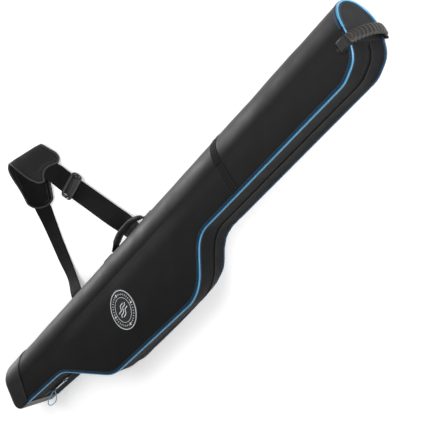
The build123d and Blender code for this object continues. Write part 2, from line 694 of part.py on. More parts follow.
BK = WEB_T / 2 + 0.5  # webbing face to bar
with BuildPart() as buckle:
    for s in (-1, 1):
        with BuildSketch(on_buckle(-BK - 2.6)):
            with Locations((s * (TG_SPAN / 2 - 2.4), 0)):
                RectangleRounded(4.8, TG_L, 2.2)
        extrude(amount=2 * BK + 2.6 + 3.2)
    for s in (-1, 1):
        with BuildSketch(on_buckle(BK)):
            with Locations((0, s * (TG_L / 2 - 3.2))):
                RectangleRounded(TG_SPAN - 1, 6.4, 2.4)
        extrude(amount=3.2)
    with BuildSketch(on_buckle(-BK - 2.6)):
        RectangleRounded(TG_SPAN - 1, 7.0, 2.4)
    extrude(amount=2.6)
keep(buckle.part, "slide_buckle")
print("buckle centre", TG_C, "axis", TG_T, "lowest", buckle.part.bounding_box().min.Z)

# ---------------------------------------------------------------- inside
with BuildPart() as base_board:
    with BuildSketch(yz(17.0)):
        with Locations((-SPINE_A, ZC)):
            Ellipse(SPINE_A - IN_LIN - 1.5, ZC - IN_LIN - 1.5)
        with Locations((-SPINE_A - 20, ZC)):
            Rectangle(40, THICK - 2 * IN_LIN - 3)
    extrude(amount=3.0)
    prism(IN_LIN + 1.5, 0, THICK, Mode.INTERSECT)
keep(base_board.part, "base_board")

# sleeve of lining that the board is sewn into
with BuildPart() as base_pocket:
    with BuildSketch(yz(20.2)):
        with Locations((-SPINE_A, ZC)):
            Ellipse(SPINE_A - IN_LIN - 0.5, ZC - IN_LIN - 0.5)
        with Locations((-SPINE_A - 20, ZC)):
            Rectangle(40, THICK - 2 * IN_LIN - 1)
    extrude(amount=1.2)
    prism(IN_LIN + 0.5, 0, THICK, Mode.INTERSECT)
keep(base_pocket.part, "base_board_pocket")

# straps inside that hold the rod against the far side
for nm, xs in (("rod_strap_lower", 330.0), ("rod_strap_upper", 1120.0)):
    ARCH = [at(xs, -44.0, IN_LIN + 1.8), at(xs, -50.0, IN_LIN + 9), at(xs, -60.0, IN_LIN + 17),
            at(xs, -78.0, IN_LIN + 17), at(xs, -88.0, IN_LIN + 9), at(xs, -94.0, IN_LIN + 1.8)]
    with BuildPart() as rod_strap:
        with BuildLine() as pl:
            FilletPolyline(*ARCH, radius=corner_radii(ARCH))
        with BuildSketch(Plane(origin=pl.line @ 0, x_dir=(1, 0, 0), z_dir=pl.line % 0)):
            Rectangle(25, 1.6)
        sweep(path=pl.line)
    keep(rod_strap.part, nm)

# foam pad that the reel rests on
with BuildPart() as reel_pad:
    with BuildSketch(xy(IN_LIN)):
        with Locations((540.0, -165.0)):
            RectangleRounded(220, 66, 14)
    extrude(amount=6.0)
keep(reel_pad.part, "reel_pad")
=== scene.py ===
"""Rod case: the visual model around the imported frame. Lengths in mm are case
coordinates (x from the butt, y = 0 at the spine, z up) and W() takes them to
the row frame in metres."""
import bpy
import math
import numpy as np
from mathutils import Vector, Matrix, noise


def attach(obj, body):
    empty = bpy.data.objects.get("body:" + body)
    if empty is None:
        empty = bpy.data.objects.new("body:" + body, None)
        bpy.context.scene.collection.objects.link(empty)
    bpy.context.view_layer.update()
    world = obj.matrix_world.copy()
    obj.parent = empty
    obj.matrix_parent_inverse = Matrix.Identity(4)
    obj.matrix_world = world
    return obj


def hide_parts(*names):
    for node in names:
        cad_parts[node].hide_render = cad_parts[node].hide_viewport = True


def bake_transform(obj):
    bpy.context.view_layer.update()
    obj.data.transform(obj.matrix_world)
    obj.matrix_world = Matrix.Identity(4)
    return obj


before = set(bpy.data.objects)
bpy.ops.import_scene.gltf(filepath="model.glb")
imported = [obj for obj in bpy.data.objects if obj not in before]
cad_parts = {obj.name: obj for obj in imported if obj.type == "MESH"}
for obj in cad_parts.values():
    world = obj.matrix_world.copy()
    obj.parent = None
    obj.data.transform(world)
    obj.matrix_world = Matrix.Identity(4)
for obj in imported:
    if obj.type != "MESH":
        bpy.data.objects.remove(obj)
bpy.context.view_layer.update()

X0, Y0 = 684.97, 62.45
THICK, ZC = 91.0, 45.5
SPINE_A = 55.0
HINGE_Y = -57.8
SPLIT = 949.0
FLAP0, FLAP1 = 200.0, 1180.0
OUTLINE = [
    (6.0, 0.0, 4.0), (1345.0, 0.0, 4.0), (1345.0, -72.0, 55.0),
    (1330.0, -110.0, 40.0), (1287.0, -128.5, 70.0), (811.0, -127.5, 65.0),
    (734.0, -218.0, 95.0), (382.0, -212.0, 110.0), (222.0, -120.0, 90.0),
    (-4.0, -110.0, 28.0),
]


def W(x, y, z):
    return ((x - X0) / 1000, (y - Y0) / 1000, z / 1000)


def arr(P):
    """Case mm -> row metres for an (..., 3) array."""
    P = np.asarray(P, float)
    return (P - np.array([X0, Y0, 0.0])) / 1000


def smooth(t):
    t = np.clip(t, 0, 1)
    return t * t * (3 - 2 * t)


def nz(x, y, z=0.0, s=90.0, seed=0.0):
    """Smooth noise from -1 to 1 with features about s mm across."""
    return noise.noise(Vector((x / s + seed, y / s + 3.7 * seed, z / s)))


# ------------------------------------------------------------------ outline
def inset(d):
    n = len(OUTLINE)
    lines = []
    for i in range(n):
        x1, y1, _ = OUTLINE[i]
        x2, y2, _ = OUTLINE[(i + 1) % n]
        dx, dy = x2 - x1, y2 - y1
        ln = math.hypot(dx, dy)
        k = min(d, 0.0) if i == 0 else d
        lines.append((x1 + dy / ln * k, y1 - dx / ln * k, dx / ln, dy / ln))
    pts, rad = [], []
    for i in range(n):
        ax, ay, ux, uy = lines[i - 1]
        bx, by, vx, vy = lines[i]
        den = ux * vy - uy * vx
        k = ((bx - ax) * vy - (by - ay) * vx) / den
        pts.append((ax + ux * k, ay + uy * k))
        rad.append(max(OUTLINE[i][2] + (d if den > 0 else -d), 1.5))
    return pts, rad


def front_line(d=0.0, step=5.0, x_lo=40.0, y_end=-50.0):
    """Front of the case from near the butt to the end face, as xy points."""
    pts, rad = inset(d)
    order = [9, 8, 7, 6, 5, 4, 3, 2]
    P = [(pts[9][0] + 1.0, -60.0)] + [pts[i] for i in order] + [(pts[2][0], y_end)]
    R = [0] + [rad[i] for i in order] + [0]
    out = [np.array(P[0])]
    for i in range(1, len(P) - 1):
        a, b, c = map(np.array, (P[i - 1], P[i], P[i + 1]))
        u, v = (b - a) / np.linalg.norm(b - a), (c - b) / np.linalg.norm(c - b)
        turn = math.acos(max(-1, min(1, float(u @ v))))
        t = R[i] * math.tan(turn / 2)
        s = b - u * t
        side = 1 if u[0] * v[1] - u[1] * v[0] > 0 else -1
        nrm = np.array([-u[1], u[0]]) * side
        cen = s + nrm * R[i]
        m = max(3, int(R[i] * turn / step) + 1)
        for k in range(m + 1):
            ang = side * turn * k / m
            ca, sa = math.cos(ang), math.sin(ang)
            w = s - cen
            out.append(cen + np.array([w[0] * ca - w[1] * sa, w[0] * sa + w[1] * ca]))
    out.append(np.array(P[-1]))
    Q = np.array(out)
    seg = np.linalg.norm(np.diff(Q, axis=0), axis=1)
    keep = np.concatenate([[True], seg > 1e-6])
    Q = Q[keep]
    seg = np.linalg.norm(np.diff(Q, axis=0), axis=1)
    S = np.concatenate([[0], np.cumsum(seg)])
    n = int(S[-1] / step) + 1
    s = np.linspace(0, S[-1], n)
    Q = np.stack([np.interp(s, S, Q[:, 0]), np.interp(s, S, Q[:, 1])], 1)
    # start on the front side only
    i0 = int(np.argmax((Q[:, 0] > x_lo) & (Q[:, 1] < -90)))
    return Q[i0:]


def normals2(Q):
    T = np.gradient(Q, axis=0)
    T /= np.linalg.norm(T, axis=1)[:, None]
    return np.stack([T[:, 1], -T[:, 0]], 1)      # outward, away from the spine


def cut(Q, x0, x1):
    """The part of the line between two stations, ending exactly on them."""
    out = []
    for i in range(len(Q) - 1):
        a, b = Q[i], Q[i + 1]
        if x0 <= a[0] <= x1:
            out.append(a)
        for xs in (x0, x1):
            if (a[0] - xs) * (b[0] - xs) < 0:
                out.append(a + (b - a) * (xs - a[0]) / (b[0] - a[0]))
    if x0 <= Q[-1][0] <= x1:
        out.append(Q[-1])
    return np.array(out)


FRONT = front_line()
FRONT_FINE = front_line(step=1.0)


def y_front(x):
    return float(np.interp(x, FRONT[:, 0], FRONT[:, 1]))


def edge_distance(x, y):
    """Distance from a point of the panel to the front edge."""
    return float(np.sqrt(np.min((FRONT_FINE[:, 0] - x) ** 2 + (FRONT_FINE[:, 1] - y) ** 2)))


# how far the soft far side of the reel section is drawn in, at the floor
TUCK = np.array([(0, 0), (250, 0), (300, 3.5), (340, 8.5), (380, 12.8), (400, 15.2), (430, 16.5), (480, 17.2), (540, 18.7), (600, 21.2),
                 (660, 25.0), (695, 28.2), (720, 29.0), (738, 27.0), (754, 23.8), (768, 21.8), (781, 21.0), (794, 16.0),
                 (810, 7.0), (829, 1.2), (850, 0), (1400, 0)], float)


def tuck(x, z):
    d = float(np.interp(x, TUCK[:, 0], TUCK[:, 1]))
    return d * max(0.0, 1 - max(0.0, z - 2.5) / 86.0) ** 2


def y_far(x):
    """Front edge of the far panel at a station."""
    return float(np.interp(x, FAR_LINE[:, 0], FAR_LINE[:, 1]))


FAR_LINE = FRONT - normals2(FRONT) * np.array([tuck(q[0], 0) for q in FRONT])[:, None]
FAR_LINE = FAR_LINE[np.concatenate([[True], np.diff(np.maximum.accumulate(FAR_LINE[:, 0])) > 1e-6])]

# ------------------------------------------------------------------ mesh tools
def add_mesh(name, verts, faces, mat, smooth_on=True, sharp=40):
    me = bpy.data.meshes.new(name)
    me.from_pydata([tuple(v) for v in verts], [], [tuple(int(i) for i in f) for f in faces])
    me.update()
    me.validate()
    ob = bpy.data.objects.new(name, me)
    bpy.context.scene.collection.objects.link(ob)
    if smooth_on:
        me.polygons.foreach_set("use_smooth", [True] * len(me.polygons))
        me.set_sharp_from_angle(angle=math.radians(sharp))
    me.materials.append(mat)
    return ob


def grid_faces(nu, nv, off=0, wrap_v=False, wrap_u=False, flip=False):
    F = []
    for i in range(nu if wrap_u else nu - 1):
        for j in range(nv if wrap_v else nv - 1):
            a = off + i * nv + j
            b = off + ((i + 1) % nu) * nv + j
            c = off + ((i + 1) % nu) * nv + (j + 1) % nv
            d = off + i * nv + (j + 1) % nv
            F.append((a, d, c, b) if flip else (a, b, c, d))
    return F


def thick_grid(name, P, t, mat, sharp=50, outward=None):
    """Closed sheet from an (nu, nv, 3) grid in case mm; t mm thick, inward."""
    P = np.asarray(P, float)
    nu, nv = P.shape[:2]
    du = np.gradient(P, axis=0)
    dv = np.gradient(P, axis=1)
    N = np.cross(du, dv)
    ln = np.linalg.norm(N, axis=2)[..., None]
    N = N / np.where(ln < 1e-9, 1, ln)
    flip = False
    if outward is not None:
        ref = N.reshape(-1, 3)[len(N.reshape(-1, 3)) // 2]
        if float(ref @ np.array(outward, float)) < 0:
            N = -N
            flip = True
    T = t if np.ndim(t) == 0 else np.asarray(t)[..., None]
    Q = P - N * T
    V = np.concatenate([P.reshape(-1, 3), Q.reshape(-1, 3)])
    n = nu * nv
    F = grid_faces(nu, nv, 0, flip=flip) + grid_faces(nu, nv, n, flip=not flip)
    rim = ([i * nv for i in range(nu)] + [(nu - 1) * nv + j for j in range(1, nv)]
           + [i * nv + nv - 1 for i in range(nu - 2, -1, -1)] + [j for j in range(nv - 2, 0, -1)])
    for a, b in zip(rim, rim[1:] + rim[:1]):
        f = (a, b, b + n, a + n)
        F.append(f if flip else f[::-1])
    ob = add_mesh(name, arr(V), F, mat, sharp=sharp)
    return ob


def tube(name, C, A, B, prof, mat, caps=True, sharp=60, closed=False):
    """Closed sweep: centres C, section axes A and B, prof(i, angle) -> (a, b) in mm."""
    C, A, B = (np.asarray(v, float) for v in (C, A, B))
    nu = len(C)
    K = prof(0, None)
    V = []
    for i in range(nu):
        for k in range(K):
            a, b = prof(i, 2 * math.pi * k / K)
            V.append(C[i] + A[i] * a + B[i] * b)
    F = grid_faces(nu, K, 0, wrap_v=True, wrap_u=closed)
    if caps and not closed:
        V.append(C[0]); V.append(C[-1])
        a, b = len(V) - 2, len(V) - 1
        for k in range(K):
            F.append((a, k, (k + 1) % K))
            F.append((b, (nu - 1) * K + (k + 1) % K, (nu - 1) * K + k))
    ob = add_mesh(name, arr(V), F, mat, sharp=sharp)
    fix_normals(ob)
    return ob


def fix_normals(ob):
    import bmesh
    bm = bmesh.new()
    bm.from_mesh(ob.data)
    bmesh.ops.recalc_face_normals(bm, faces=bm.faces)
    bm.to_mesh(ob.data)
    bm.free()


def spline(points, n):
    """Catmull-Rom through points (mm), n samples evenly along it."""
    P = np.asarray(points, float)
    P = np.vstack([2 * P[0] - P[1], P, 2 * P[-1] - P[-2]])
    out = []
    for i in range(1, len(P) - 2):
        for t in np.linspace(0, 1, 24, endpoint=False):
            a, b, c, d = P[i - 1], P[i], P[i + 1], P[i + 2]
            out.append(0.5 * ((2 * b) + (c - a) * t + (2 * a - 5 * b + 4 * c - d) * t ** 2
                              + (3 * b - a - 3 * c + d) * t ** 3))
    out.append(P[-2])
    Q = np.array(out)
    S = np.concatenate([[0], np.cumsum(np.linalg.norm(np.diff(Q[:, :3], axis=0), axis=1))])
    s = np.linspace(0, S[-1], n)
    return np.stack([np.interp(s, S, Q[:, k]) for k in range(Q.shape[1])], 1)


def unit(v):
    v = np.asarray(v, float)
    return v / np.linalg.norm(v, axis=-1, keepdims=True)


# ------------------------------------------------------------------ materials
def material(name, color, rough=0.6, spec=0.5, sheen=0.0, sheen_rough=0.4, metallic=0.0,
             coat=0.0, coat_rough=0.3, bumps=(), vary=0.0, vary_scale=12.0, rough_vary=0.0,
             weave=None, dark=None):
    """Procedural material. bumps: (kind, scale, strength, distance mm)."""
    m = bpy.data.materials.new(name)
    m.use_nodes = True
    nt = m.node_tree
    for n in list(nt.nodes):
        nt.nodes.remove(n)
    out = nt.nodes.new("ShaderNodeOutputMaterial")
    b = nt.nodes.new("ShaderNodeBsdfPrincipled")
    nt.links.new(b.outputs[0], out.inputs[0])
    b.inputs["Base Color"].default_value = (*color, 1)
    b.inputs["Roughness"].default_value = rough
    b.inputs["Metallic"].default_value = metallic
    b.inputs["Specular IOR Level"].default_value = spec
    b.inputs["Sheen Weight"].default_value = sheen
    b.inputs["Sheen Roughness"].default_value = sheen_rough
    b.inputs["Coat Weight"].default_value = coat
    b.inputs["Coat Roughness"].default_value = coat_rough
    tc = nt.nodes.new("ShaderNodeTexCoord")
    co = tc.outputs["Object"]
    if vary > 0:
        n1 = nt.nodes.new("ShaderNodeTexNoise")
        n1.inputs["Scale"].default_value = vary_scale
        n1.inputs["Detail"].default_value = 5
        n1.inputs["Roughness"].default_value = 0.6
        nt.links.new(co, n1.inputs["Vector"])
        fine = nt.nodes.new("ShaderNodeTexNoise")
        fine.inputs["Scale"].default_value = 900
        fine.inputs["Detail"].default_value = 3
        nt.links.new(co, fine.inputs["Vector"])
        mx = nt.nodes.new("ShaderNodeMix")
        mx.data_type = 'FLOAT'
        mx.inputs[0].default_value = 0.45
        nt.links.new(n1.outputs["Fac"], mx.inputs[2])
        nt.links.new(fine.outputs["Fac"], mx.inputs[3])
        cr = nt.nodes.new("ShaderNodeValToRGB")
        cr.color_ramp.elements[0].position = 0.3
        cr.color_ramp.elements[1].position = 0.7
        lo = dark or tuple(c * (1 - vary) for c in color)
        hi = tuple(min(1, c * (1 + vary)) for c in color)
        cr.color_ramp.elements[0].color = (*lo, 1)
        cr.color_ramp.elements[1].color = (*hi, 1)
        nt.links.new(mx.outputs[0], cr.inputs[0])
        nt.links.new(cr.outputs[0], b.inputs["Base Color"])
    if rough_vary > 0:
        n2 = nt.nodes.new("ShaderNodeTexNoise")
        n2.inputs["Scale"].default_value = vary_scale * 3
        n2.inputs["Detail"].default_value = 4
        nt.links.new(co, n2.inputs["Vector"])
        mr = nt.nodes.new("ShaderNodeMapRange")
        mr.inputs["From Min"].default_value = 0.25
        mr.inputs["From Max"].default_value = 0.75
        mr.inputs["To Min"].default_value = max(0.02, rough - rough_vary)
        mr.inputs["To Max"].default_value = min(1, rough + rough_vary)
        nt.links.new(n2.outputs["Fac"], mr.inputs["Value"])
        nt.links.new(mr.outputs["Result"], b.inputs["Roughness"])
    prev = None
    for kind, scale, strength, dist in bumps:
        if kind == "noise":
            t = nt.nodes.new("ShaderNodeTexNoise")
            t.inputs["Detail"].default_value = 4
            o = t.outputs["Fac"]
        elif kind == "voronoi":
            t = nt.nodes.new("ShaderNodeTexVoronoi")
            t.feature = 'DISTANCE_TO_EDGE'
            o = t.outputs["Distance"]
        elif kind == "cell":
            t = nt.nodes.new("ShaderNodeTexVoronoi")
            o = t.outputs["Distance"]
        if kind in ("noise", "voronoi", "cell"):
            t.inputs["Scale"].default_value = scale
            nt.links.new(co, t.inputs["Vector"])
        else:
            # plain weave: product of two waves, turned to follow warp and weft
            outs = []
            for axis, rot in (("X", 0.0), ("Y", 0.0)):
                wv = nt.nodes.new("ShaderNodeTexWave")
                wv.wave_type = 'BANDS'
                wv.bands_direction = 'DIAGONAL' if kind == "twill" and axis == "Y" else axis
                wv.inputs["Scale"].default_value = scale
                wv.inputs["Distortion"].default_value = 0.4
                wv.inputs["Detail"].default_value = 1
                wv.inputs["Detail Scale"].default_value = 2
                nt.links.new(co, wv.inputs["Vector"])
                outs.append(wv.outputs["Fac"])
            mm = nt.nodes.new("ShaderNodeMath")
            mm.operation = 'MULTIPLY'
            nt.links.new(outs[0], mm.inputs[0])
            nt.links.new(outs[1], mm.inputs[1])
            o = mm.outputs[0]
        bp = nt.nodes.new("ShaderNodeBump")
        bp.inputs["Strength"].default_value = strength
        bp.inputs["Distance"].default_value = dist / 1000
        nt.links.new(o, bp.inputs["Height"])
        if prev is not None:
            nt.links.new(prev, bp.inputs["Normal"])
        prev = bp.outputs["Normal"]
    if prev is not None:
        nt.links.new(prev, b.inputs["Normal"])
        
    return m


M = {}
M["shell"] = material("shell_fabric", (0.0064, 0.0065, 0.0070), rough=0.50, spec=0.17, sheen=0.02,
                      vary=0.22, vary_scale=9, rough_vary=0.05,
                      bumps=(("noise", 9, 0.12, 3.0), ("weave", 420, 0.16, 0.12), ("noise", 1400, 0.12, 0.08)))
M["gusset"] = material("gusset_fabric", (0.0110, 0.0103, 0.0104), rough=0.74, spec=0.07, sheen=0.02,
                       vary=0.25, vary_scale=14, rough_vary=0.06, dark=(0.0065, 0.0072, 0.0088),
                       bumps=(("noise", 14, 0.15, 2.5), ("weave", 380, 0.35, 0.16), ("noise", 1200, 0.15, 0.08)))
M["endcap"] = material("end_fabric", (0.0135, 0.0135, 0.0135), rough=0.68, spec=0.16, sheen=0.03,
                       vary=0.2, vary_scale=14, rough_vary=0.05,
                       bumps=(("noise", 14, 0.15, 2.0), ("weave", 380, 0.35, 0.16)))
M["base"] = material("base_leatherette", (0.012, 0.012, 0.013), rough=0.46, spec=0.35,
                     vary=0.25, vary_scale=20, rough_vary=0.08,
                     bumps=(("noise", 10, 0.15, 3.0), ("voronoi", 620, 0.30, 0.20), ("noise", 1500, 0.2, 0.08)))
M["pipe"] = material("piping_cord", (0.050, 0.250, 0.430), rough=0.34, spec=0.5, sheen=0.05, coat=0.8, coat_rough=0.20,
                     vary=0.12, vary_scale=30, rough_vary=0.06,
                     bumps=(("weave", 900, 0.25, 0.08), ("noise", 160, 0.15, 0.4)))
# darkened copy of the piping cord colour: painted shade for the far side, the real cord is one colour all round
M["pipe_painted_shade"] = material("piping_cord_painted_shade", (0.014, 0.062, 0.130), rough=0.42, spec=0.35, coat=0.15, coat_rough=0.3,
                         vary=0.12, vary_scale=30, rough_vary=0.06,
                         bumps=(("weave", 900, 0.25, 0.08), ("noise", 160, 0.15, 0.4)))
# copy of the piping cord colour for the end arc, tinted to how the arc looks in its light: painted light, the same cord
# as the rest
M["pipe_end"] = material("piping_cord_painted_light_end", (0.026, 0.235, 0.400), rough=0.34, spec=0.5, sheen=0.05, coat=0.8, coat_rough=0.20,
                         vary=0.12, vary_scale=30, rough_vary=0.06,
                         bumps=(("weave", 900, 0.25, 0.08), ("noise", 160, 0.15, 0.4)))
M["flange"] = material("piping_flange", (0.006, 0.026, 0.056), rough=0.62, spec=0.2, sheen=0.03,
                       vary=0.2, vary_scale=40, rough_vary=0.05, bumps=(("weave", 700, 0.3, 0.1),))
M["tape"] = material("zip_tape", (0.011, 0.011, 0.012), rough=0.8, spec=0.15, sheen=0.03,
                     vary=0.25, vary_scale=60, rough_vary=0.05, bumps=(("twill", 900, 0.4, 0.12),))
M["coil"] = material("zip_coil", (0.0035, 0.0035, 0.004), rough=0.5, spec=0.2, vary=0.2, vary_scale=60, rough_vary=0.08,
                     bumps=(("noise", 900, 0.1, 0.05),))
M["metal"] = material("zip_metal", (0.55, 0.56, 0.58), rough=0.30, metallic=1.0, vary=0.10, vary_scale=120, rough_vary=0.10,
                      bumps=(("noise", 500, 0.10, 0.05),))
M["cord"] = material("pull_cord", (0.13, 0.30, 0.46), rough=0.55, spec=0.4, sheen=0.25, vary=0.18, vary_scale=200,
                     rough_vary=0.06, bumps=(("weave", 1400, 0.5, 0.15), ("cell", 1100, 0.3, 0.1)))
M["knot"] = material("cord_sleeve", (0.03, 0.035, 0.05), rough=0.5, spec=0.45, vary=0.2, vary_scale=200, rough_vary=0.08,
                     bumps=(("noise", 900, 0.15, 0.08),))
# lighter copy of the webbing colour: painted light on the same webbing where it bulges over the buckle bar and on the
# grab band's top layers
M["web_painted_light"] = material("webbing_painted_light", (0.0105, 0.0105, 0.011), rough=0.42, spec=0.35, sheen=0.02,
                         vary=0.28, vary_scale=30, rough_vary=0.06,
                         bumps=(("twill", 620, 0.45, 0.18),))
M["web"] = material("webbing", (0.0054, 0.0054, 0.0058), rough=0.68, spec=0.09, sheen=0.02,
                    vary=0.28, vary_scale=30, rough_vary=0.06,
                    bumps=(("twill", 620, 0.45, 0.18), ("noise", 900, 0.2, 0.1)))
M["grip"] = material("grip_rubber", (0.0155, 0.0142, 0.0128), rough=0.42, spec=0.45, vary=0.25, vary_scale=60, rough_vary=0.10,
                     bumps=(("noise", 700, 0.15, 0.08), ("noise", 60, 0.1, 0.5)))
M["pad"] = material("pad_fabric", (0.0135, 0.0135, 0.014), rough=0.68, spec=0.15, sheen=0.03,
                    vary=0.22, vary_scale=25, rough_vary=0.05,
                    bumps=(("weave", 430, 0.45, 0.2), ("noise", 26, 0.2, 2.0)))
M["pad_under"] = material("pad_lining", (0.0030, 0.0030, 0.0032), rough=0.66, spec=0.12, sheen=0.02,
                          vary=0.2, vary_scale=25, rough_vary=0.05,
                          bumps=(("cell", 500, 0.3, 0.15), ("noise", 26, 0.2, 2.0)))
M["bind"] = material("binding_tape", (0.024, 0.024, 0.025), rough=0.55, spec=0.35, sheen=0.08, vary=0.2, vary_scale=80,
                     rough_vary=0.05, bumps=(("twill", 900, 0.4, 0.12),))
M["buckle"] = material("buckle_plastic", (0.014, 0.014, 0.015), rough=0.34, spec=0.42, vary=0.12, vary_scale=60, rough_vary=0.08,
                       bumps=(("noise", 500, 0.08, 0.06),))
M["badge"] = material("badge_rubber", (0.018, 0.018, 0.020), rough=0.42, spec=0.5, vary=0.15, vary_scale=60, rough_vary=0.06,
                      bumps=(("noise", 800, 0.12, 0.06),))
M["mark"] = material("badge_mark", (0.60, 0.61, 0.62), rough=0.5, spec=0.4, vary=0.08, vary_scale=90, rough_vary=0.05,
                     bumps=(("noise", 900, 0.1, 0.05),))
M["foam"] = material("foam", (0.16, 0.16, 0.17), rough=0.9, spec=0.2, vary=0.15, vary_scale=60, rough_vary=0.03,
                     bumps=(("cell", 900, 0.4, 0.2),))
M["lining"] = material("lining_fabric", (0.175, 0.185, 0.205), rough=0.8, spec=0.3, sheen=0.2, vary=0.15, vary_scale=20,
                       rough_vary=0.04, bumps=(("weave", 500, 0.3, 0.1), ("noise", 16, 0.2, 2.0)))
M["board"] = material("board_plastic", (0.07, 0.07, 0.07), rough=0.6, vary=0.1, vary_scale=40, rough_vary=0.08,
                      bumps=(("noise", 400, 0.1, 0.1),))
M["thread_dark"] = material("thread_dark", (0.012, 0.012, 0.013), rough=0.6, sheen=0.05, vary=0.1, vary_scale=200, rough_vary=0.05,
                            bumps=(("noise", 2000, 0.2, 0.05),))
M["thread"] = material("thread", (0.055, 0.056, 0.06), rough=0.55, sheen=0.2, vary=0.1, vary_scale=200, rough_vary=0.05,
                       bumps=(("noise", 2000, 0.2, 0.05),))


def place(ob, body, nodes=(), blend=None):
    """Attach a piece to its body's empty and hide the nodes it stands for; with a blend given, only bake its transform.
    """
    if blend:
        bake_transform(ob)
    else:
        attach(ob, body)
    if nodes:
        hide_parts(*nodes)
    return ob


BLEND_REEL = ("case", "case_panel", W(188, -120, 91), W(300, -120, 91))
BLEND_ROD = ("case_panel", "case", W(1080, -120, 91), W(1192, -120, 91))

# ------------------------------------------------------------------ camera
cam_data = bpy.data.cameras.new("camera")
cam = bpy.data.objects.new("camera", cam_data)
bpy.context.scene.collection.objects.link(cam)
R = np.array([[0.511897, -0.466512, -0.721338], [-0.532752, -0.831116, 0.159443], [-0.673897, 0.302675, -0.673981]])
C = np.array(W(2504.44, -850.23, 1715.2))
mw = Matrix.Identity(4)
for r in range(3):
    mw[r][0], mw[r][1], mw[r][2], mw[r][3] = R[0][r], -R[1][r], -R[2][r], C[r]
cam.matrix_world = mw
cam_data.sensor_fit = 'HORIZONTAL'
cam_data.sensor_width = 36
cam_data.lens = 1300 * 36 / 430
cam_data.clip_start, cam_data.clip_end = 0.05, 50
bpy.context.scene.camera = cam

# ------------------------------------------------------------------ pull cord
CORD_PTS = [(-0.58148, -0.18091, 0.04695), (-0.58948, -0.18331, 0.0481), (-0.60048, -0.18791, 0.0521),
            (-0.61248, -0.19451, 0.0549), (-0.62198, -0.19971, 0.0501), (-0.62348, -0.20131, 0.0405),
            (-0.61498, -0.19811, 0.0319), (-0.60148, -0.19111, 0.0339), (-0.58998, -0.18471, 0.0407),
            (-0.58148, -0.18091, 0.04405)]
cu = bpy.data.curves.new("zip_pull_cord_line", 'CURVE')
cu.dimensions = '3D'
sp = cu.splines.new('NURBS')
sp.points.add(len(CORD_PTS) - 1)
for p, q in zip(sp.points, CORD_PTS):
    p.co = (*q, 1)
sp.order_u = 3
sp.use_endpoint_u = True
sp.resolution_u = 12
cu.bevel_depth = 0.0011
cu.bevel_resolution = 4
cu.use_fill_caps = True
cord = bpy.data.objects.new("pull_cord", cu)
bpy.context.scene.collection.objects.link(cord)
cu.materials.append(M["cord"])
place(cord, "zip_pull", ("zip_pull_cord",))

# ------------------------------------------------------------------ shell
def crown(x, y, yo, far=False):
    """Height of a padded side panel over its plane at a point."""
    d = edge_distance(x, y)
    z = -1.7 * max(0.0, 1 - d / 13.0) ** 2 * smooth((HINGE_Y - y) / 10.0)
    inner = smooth((HINGE_Y - y) / 28.0)
    reel = smooth((x - 210) / 190) * smooth((860 - x) / 170)
    z += inner * (0.5 * smooth(d / 30) + 3.2 * reel * smooth(d / 70))
    z += inner * (0.7 * nz(x, y, 0, 130, 1.3) + 0.30 * nz(x, y, 0, 45, 4.1)) * smooth(d / 18)
    return z


def panel_grid(Q, rows=26, edge=3.0):
    """Near panel between the fold line and the front edge, for front points Q."""
    N = normals2(Q)
    E = Q - N * edge
    v = np.linspace(0, 1, rows) ** 0.85
    v = 1 - (1 - v) ** 1.5
    P = np.zeros((len(Q), rows, 3))
    for i, (q, e) in enumerate(zip(Q, E)):
        for j, t in enumerate(v):
            x = q[0] + (e[0] - q[0]) * t
            y = HINGE_Y + (e[1] - HINGE_Y) * t
            P[i, j] = (x, y, THICK + crown(x, y, q[1]))
    return P


Q_reel = cut(FRONT, 46.0, SPLIT)
Q_rod = cut(FRONT, SPLIT, 1345.1)
Q_rod = Q_rod[Q_rod[:, 1] < HINGE_Y - 1.0]
Q_rod = np.vstack([Q_rod, [Q_rod[-1][0], HINGE_Y - 1.0]])

near_reel = thick_grid("near_reel_panel_skin", panel_grid(Q_reel), 2.0, M["shell"], outward=(0, 0, 1))
place(near_reel, "case_panel", ("near_reel_panel",), BLEND_REEL)
near_rod = thick_grid("near_rod_panel_skin", panel_grid(Q_rod), 2.0, M["shell"], outward=(0, 0, 1))
place(near_rod, "case_panel", ("near_rod_panel",), BLEND_ROD)


def shell_ring(x, yo, n_top=5, n_sp=44, n_far=26, edge=3.0):
    """Near strip, rounded spine and far panel at a station, as (y, z)."""
    pts = []
    for t in np.linspace(0, 1, n_top, endpoint=False):
        pts.append((HINGE_Y + (-SPINE_A - HINGE_Y) * t, THICK, 0.0))
    for k in range(n_sp + 1):
        a = math.pi / 2 - math.pi * k / n_sp
        w = 0.8 * nz(x, 60 * a, 5.0, 110, 2.2) + 0.35 * nz(x, 60 * a, 9.0, 38, 6.0)
        w *= smooth((math.cos(a)) / 0.45)
        rr = 1 + (w - 0.4 * smooth(math.cos(a) / 0.4)) / 50.0
        pts.append((-SPINE_A + SPINE_A * math.cos(a) * rr, ZC + ZC * math.sin(a) * (1 if abs(math.sin(a)) > 0.995 else rr), 0))
    yo = y_far(x) if x < 1290 else yo
    ye = yo + edge
    for t in np.linspace(0, 1, n_far + 1)[1:]:
        y = -SPINE_A + (ye + SPINE_A) * t
        d = y - yo
        pts.append((y, max(0.0, 1.6 * max(0.0, 1 - d / 13.0) ** 2), 0))
    return pts


def shell_grid(x0, x1, step=6.0):
    n = int((x1 - x0) / step) + 1
    P = []
    for x in np.linspace(x0, x1, n):
        yo = y_front(min(x, 1344.6))
        P.append([(x, y, max(0.0, min(THICK, z))) for y, z, _ in shell_ring(x, yo)])
    return np.array(P)


reel_shell = thick_grid("reel_section_shell", shell_grid(46, SPLIT), 2.0, M["shell"], outward=(0, 1, 0))
place(reel_shell, "case", ("reel_section_cover",))
rod_shell = thick_grid("rod_section_shell", shell_grid(SPLIT, 1345), 2.0, M["shell"], outward=(0, 1, 0))
place(rod_shell, "case", ("rod_section_cover",))


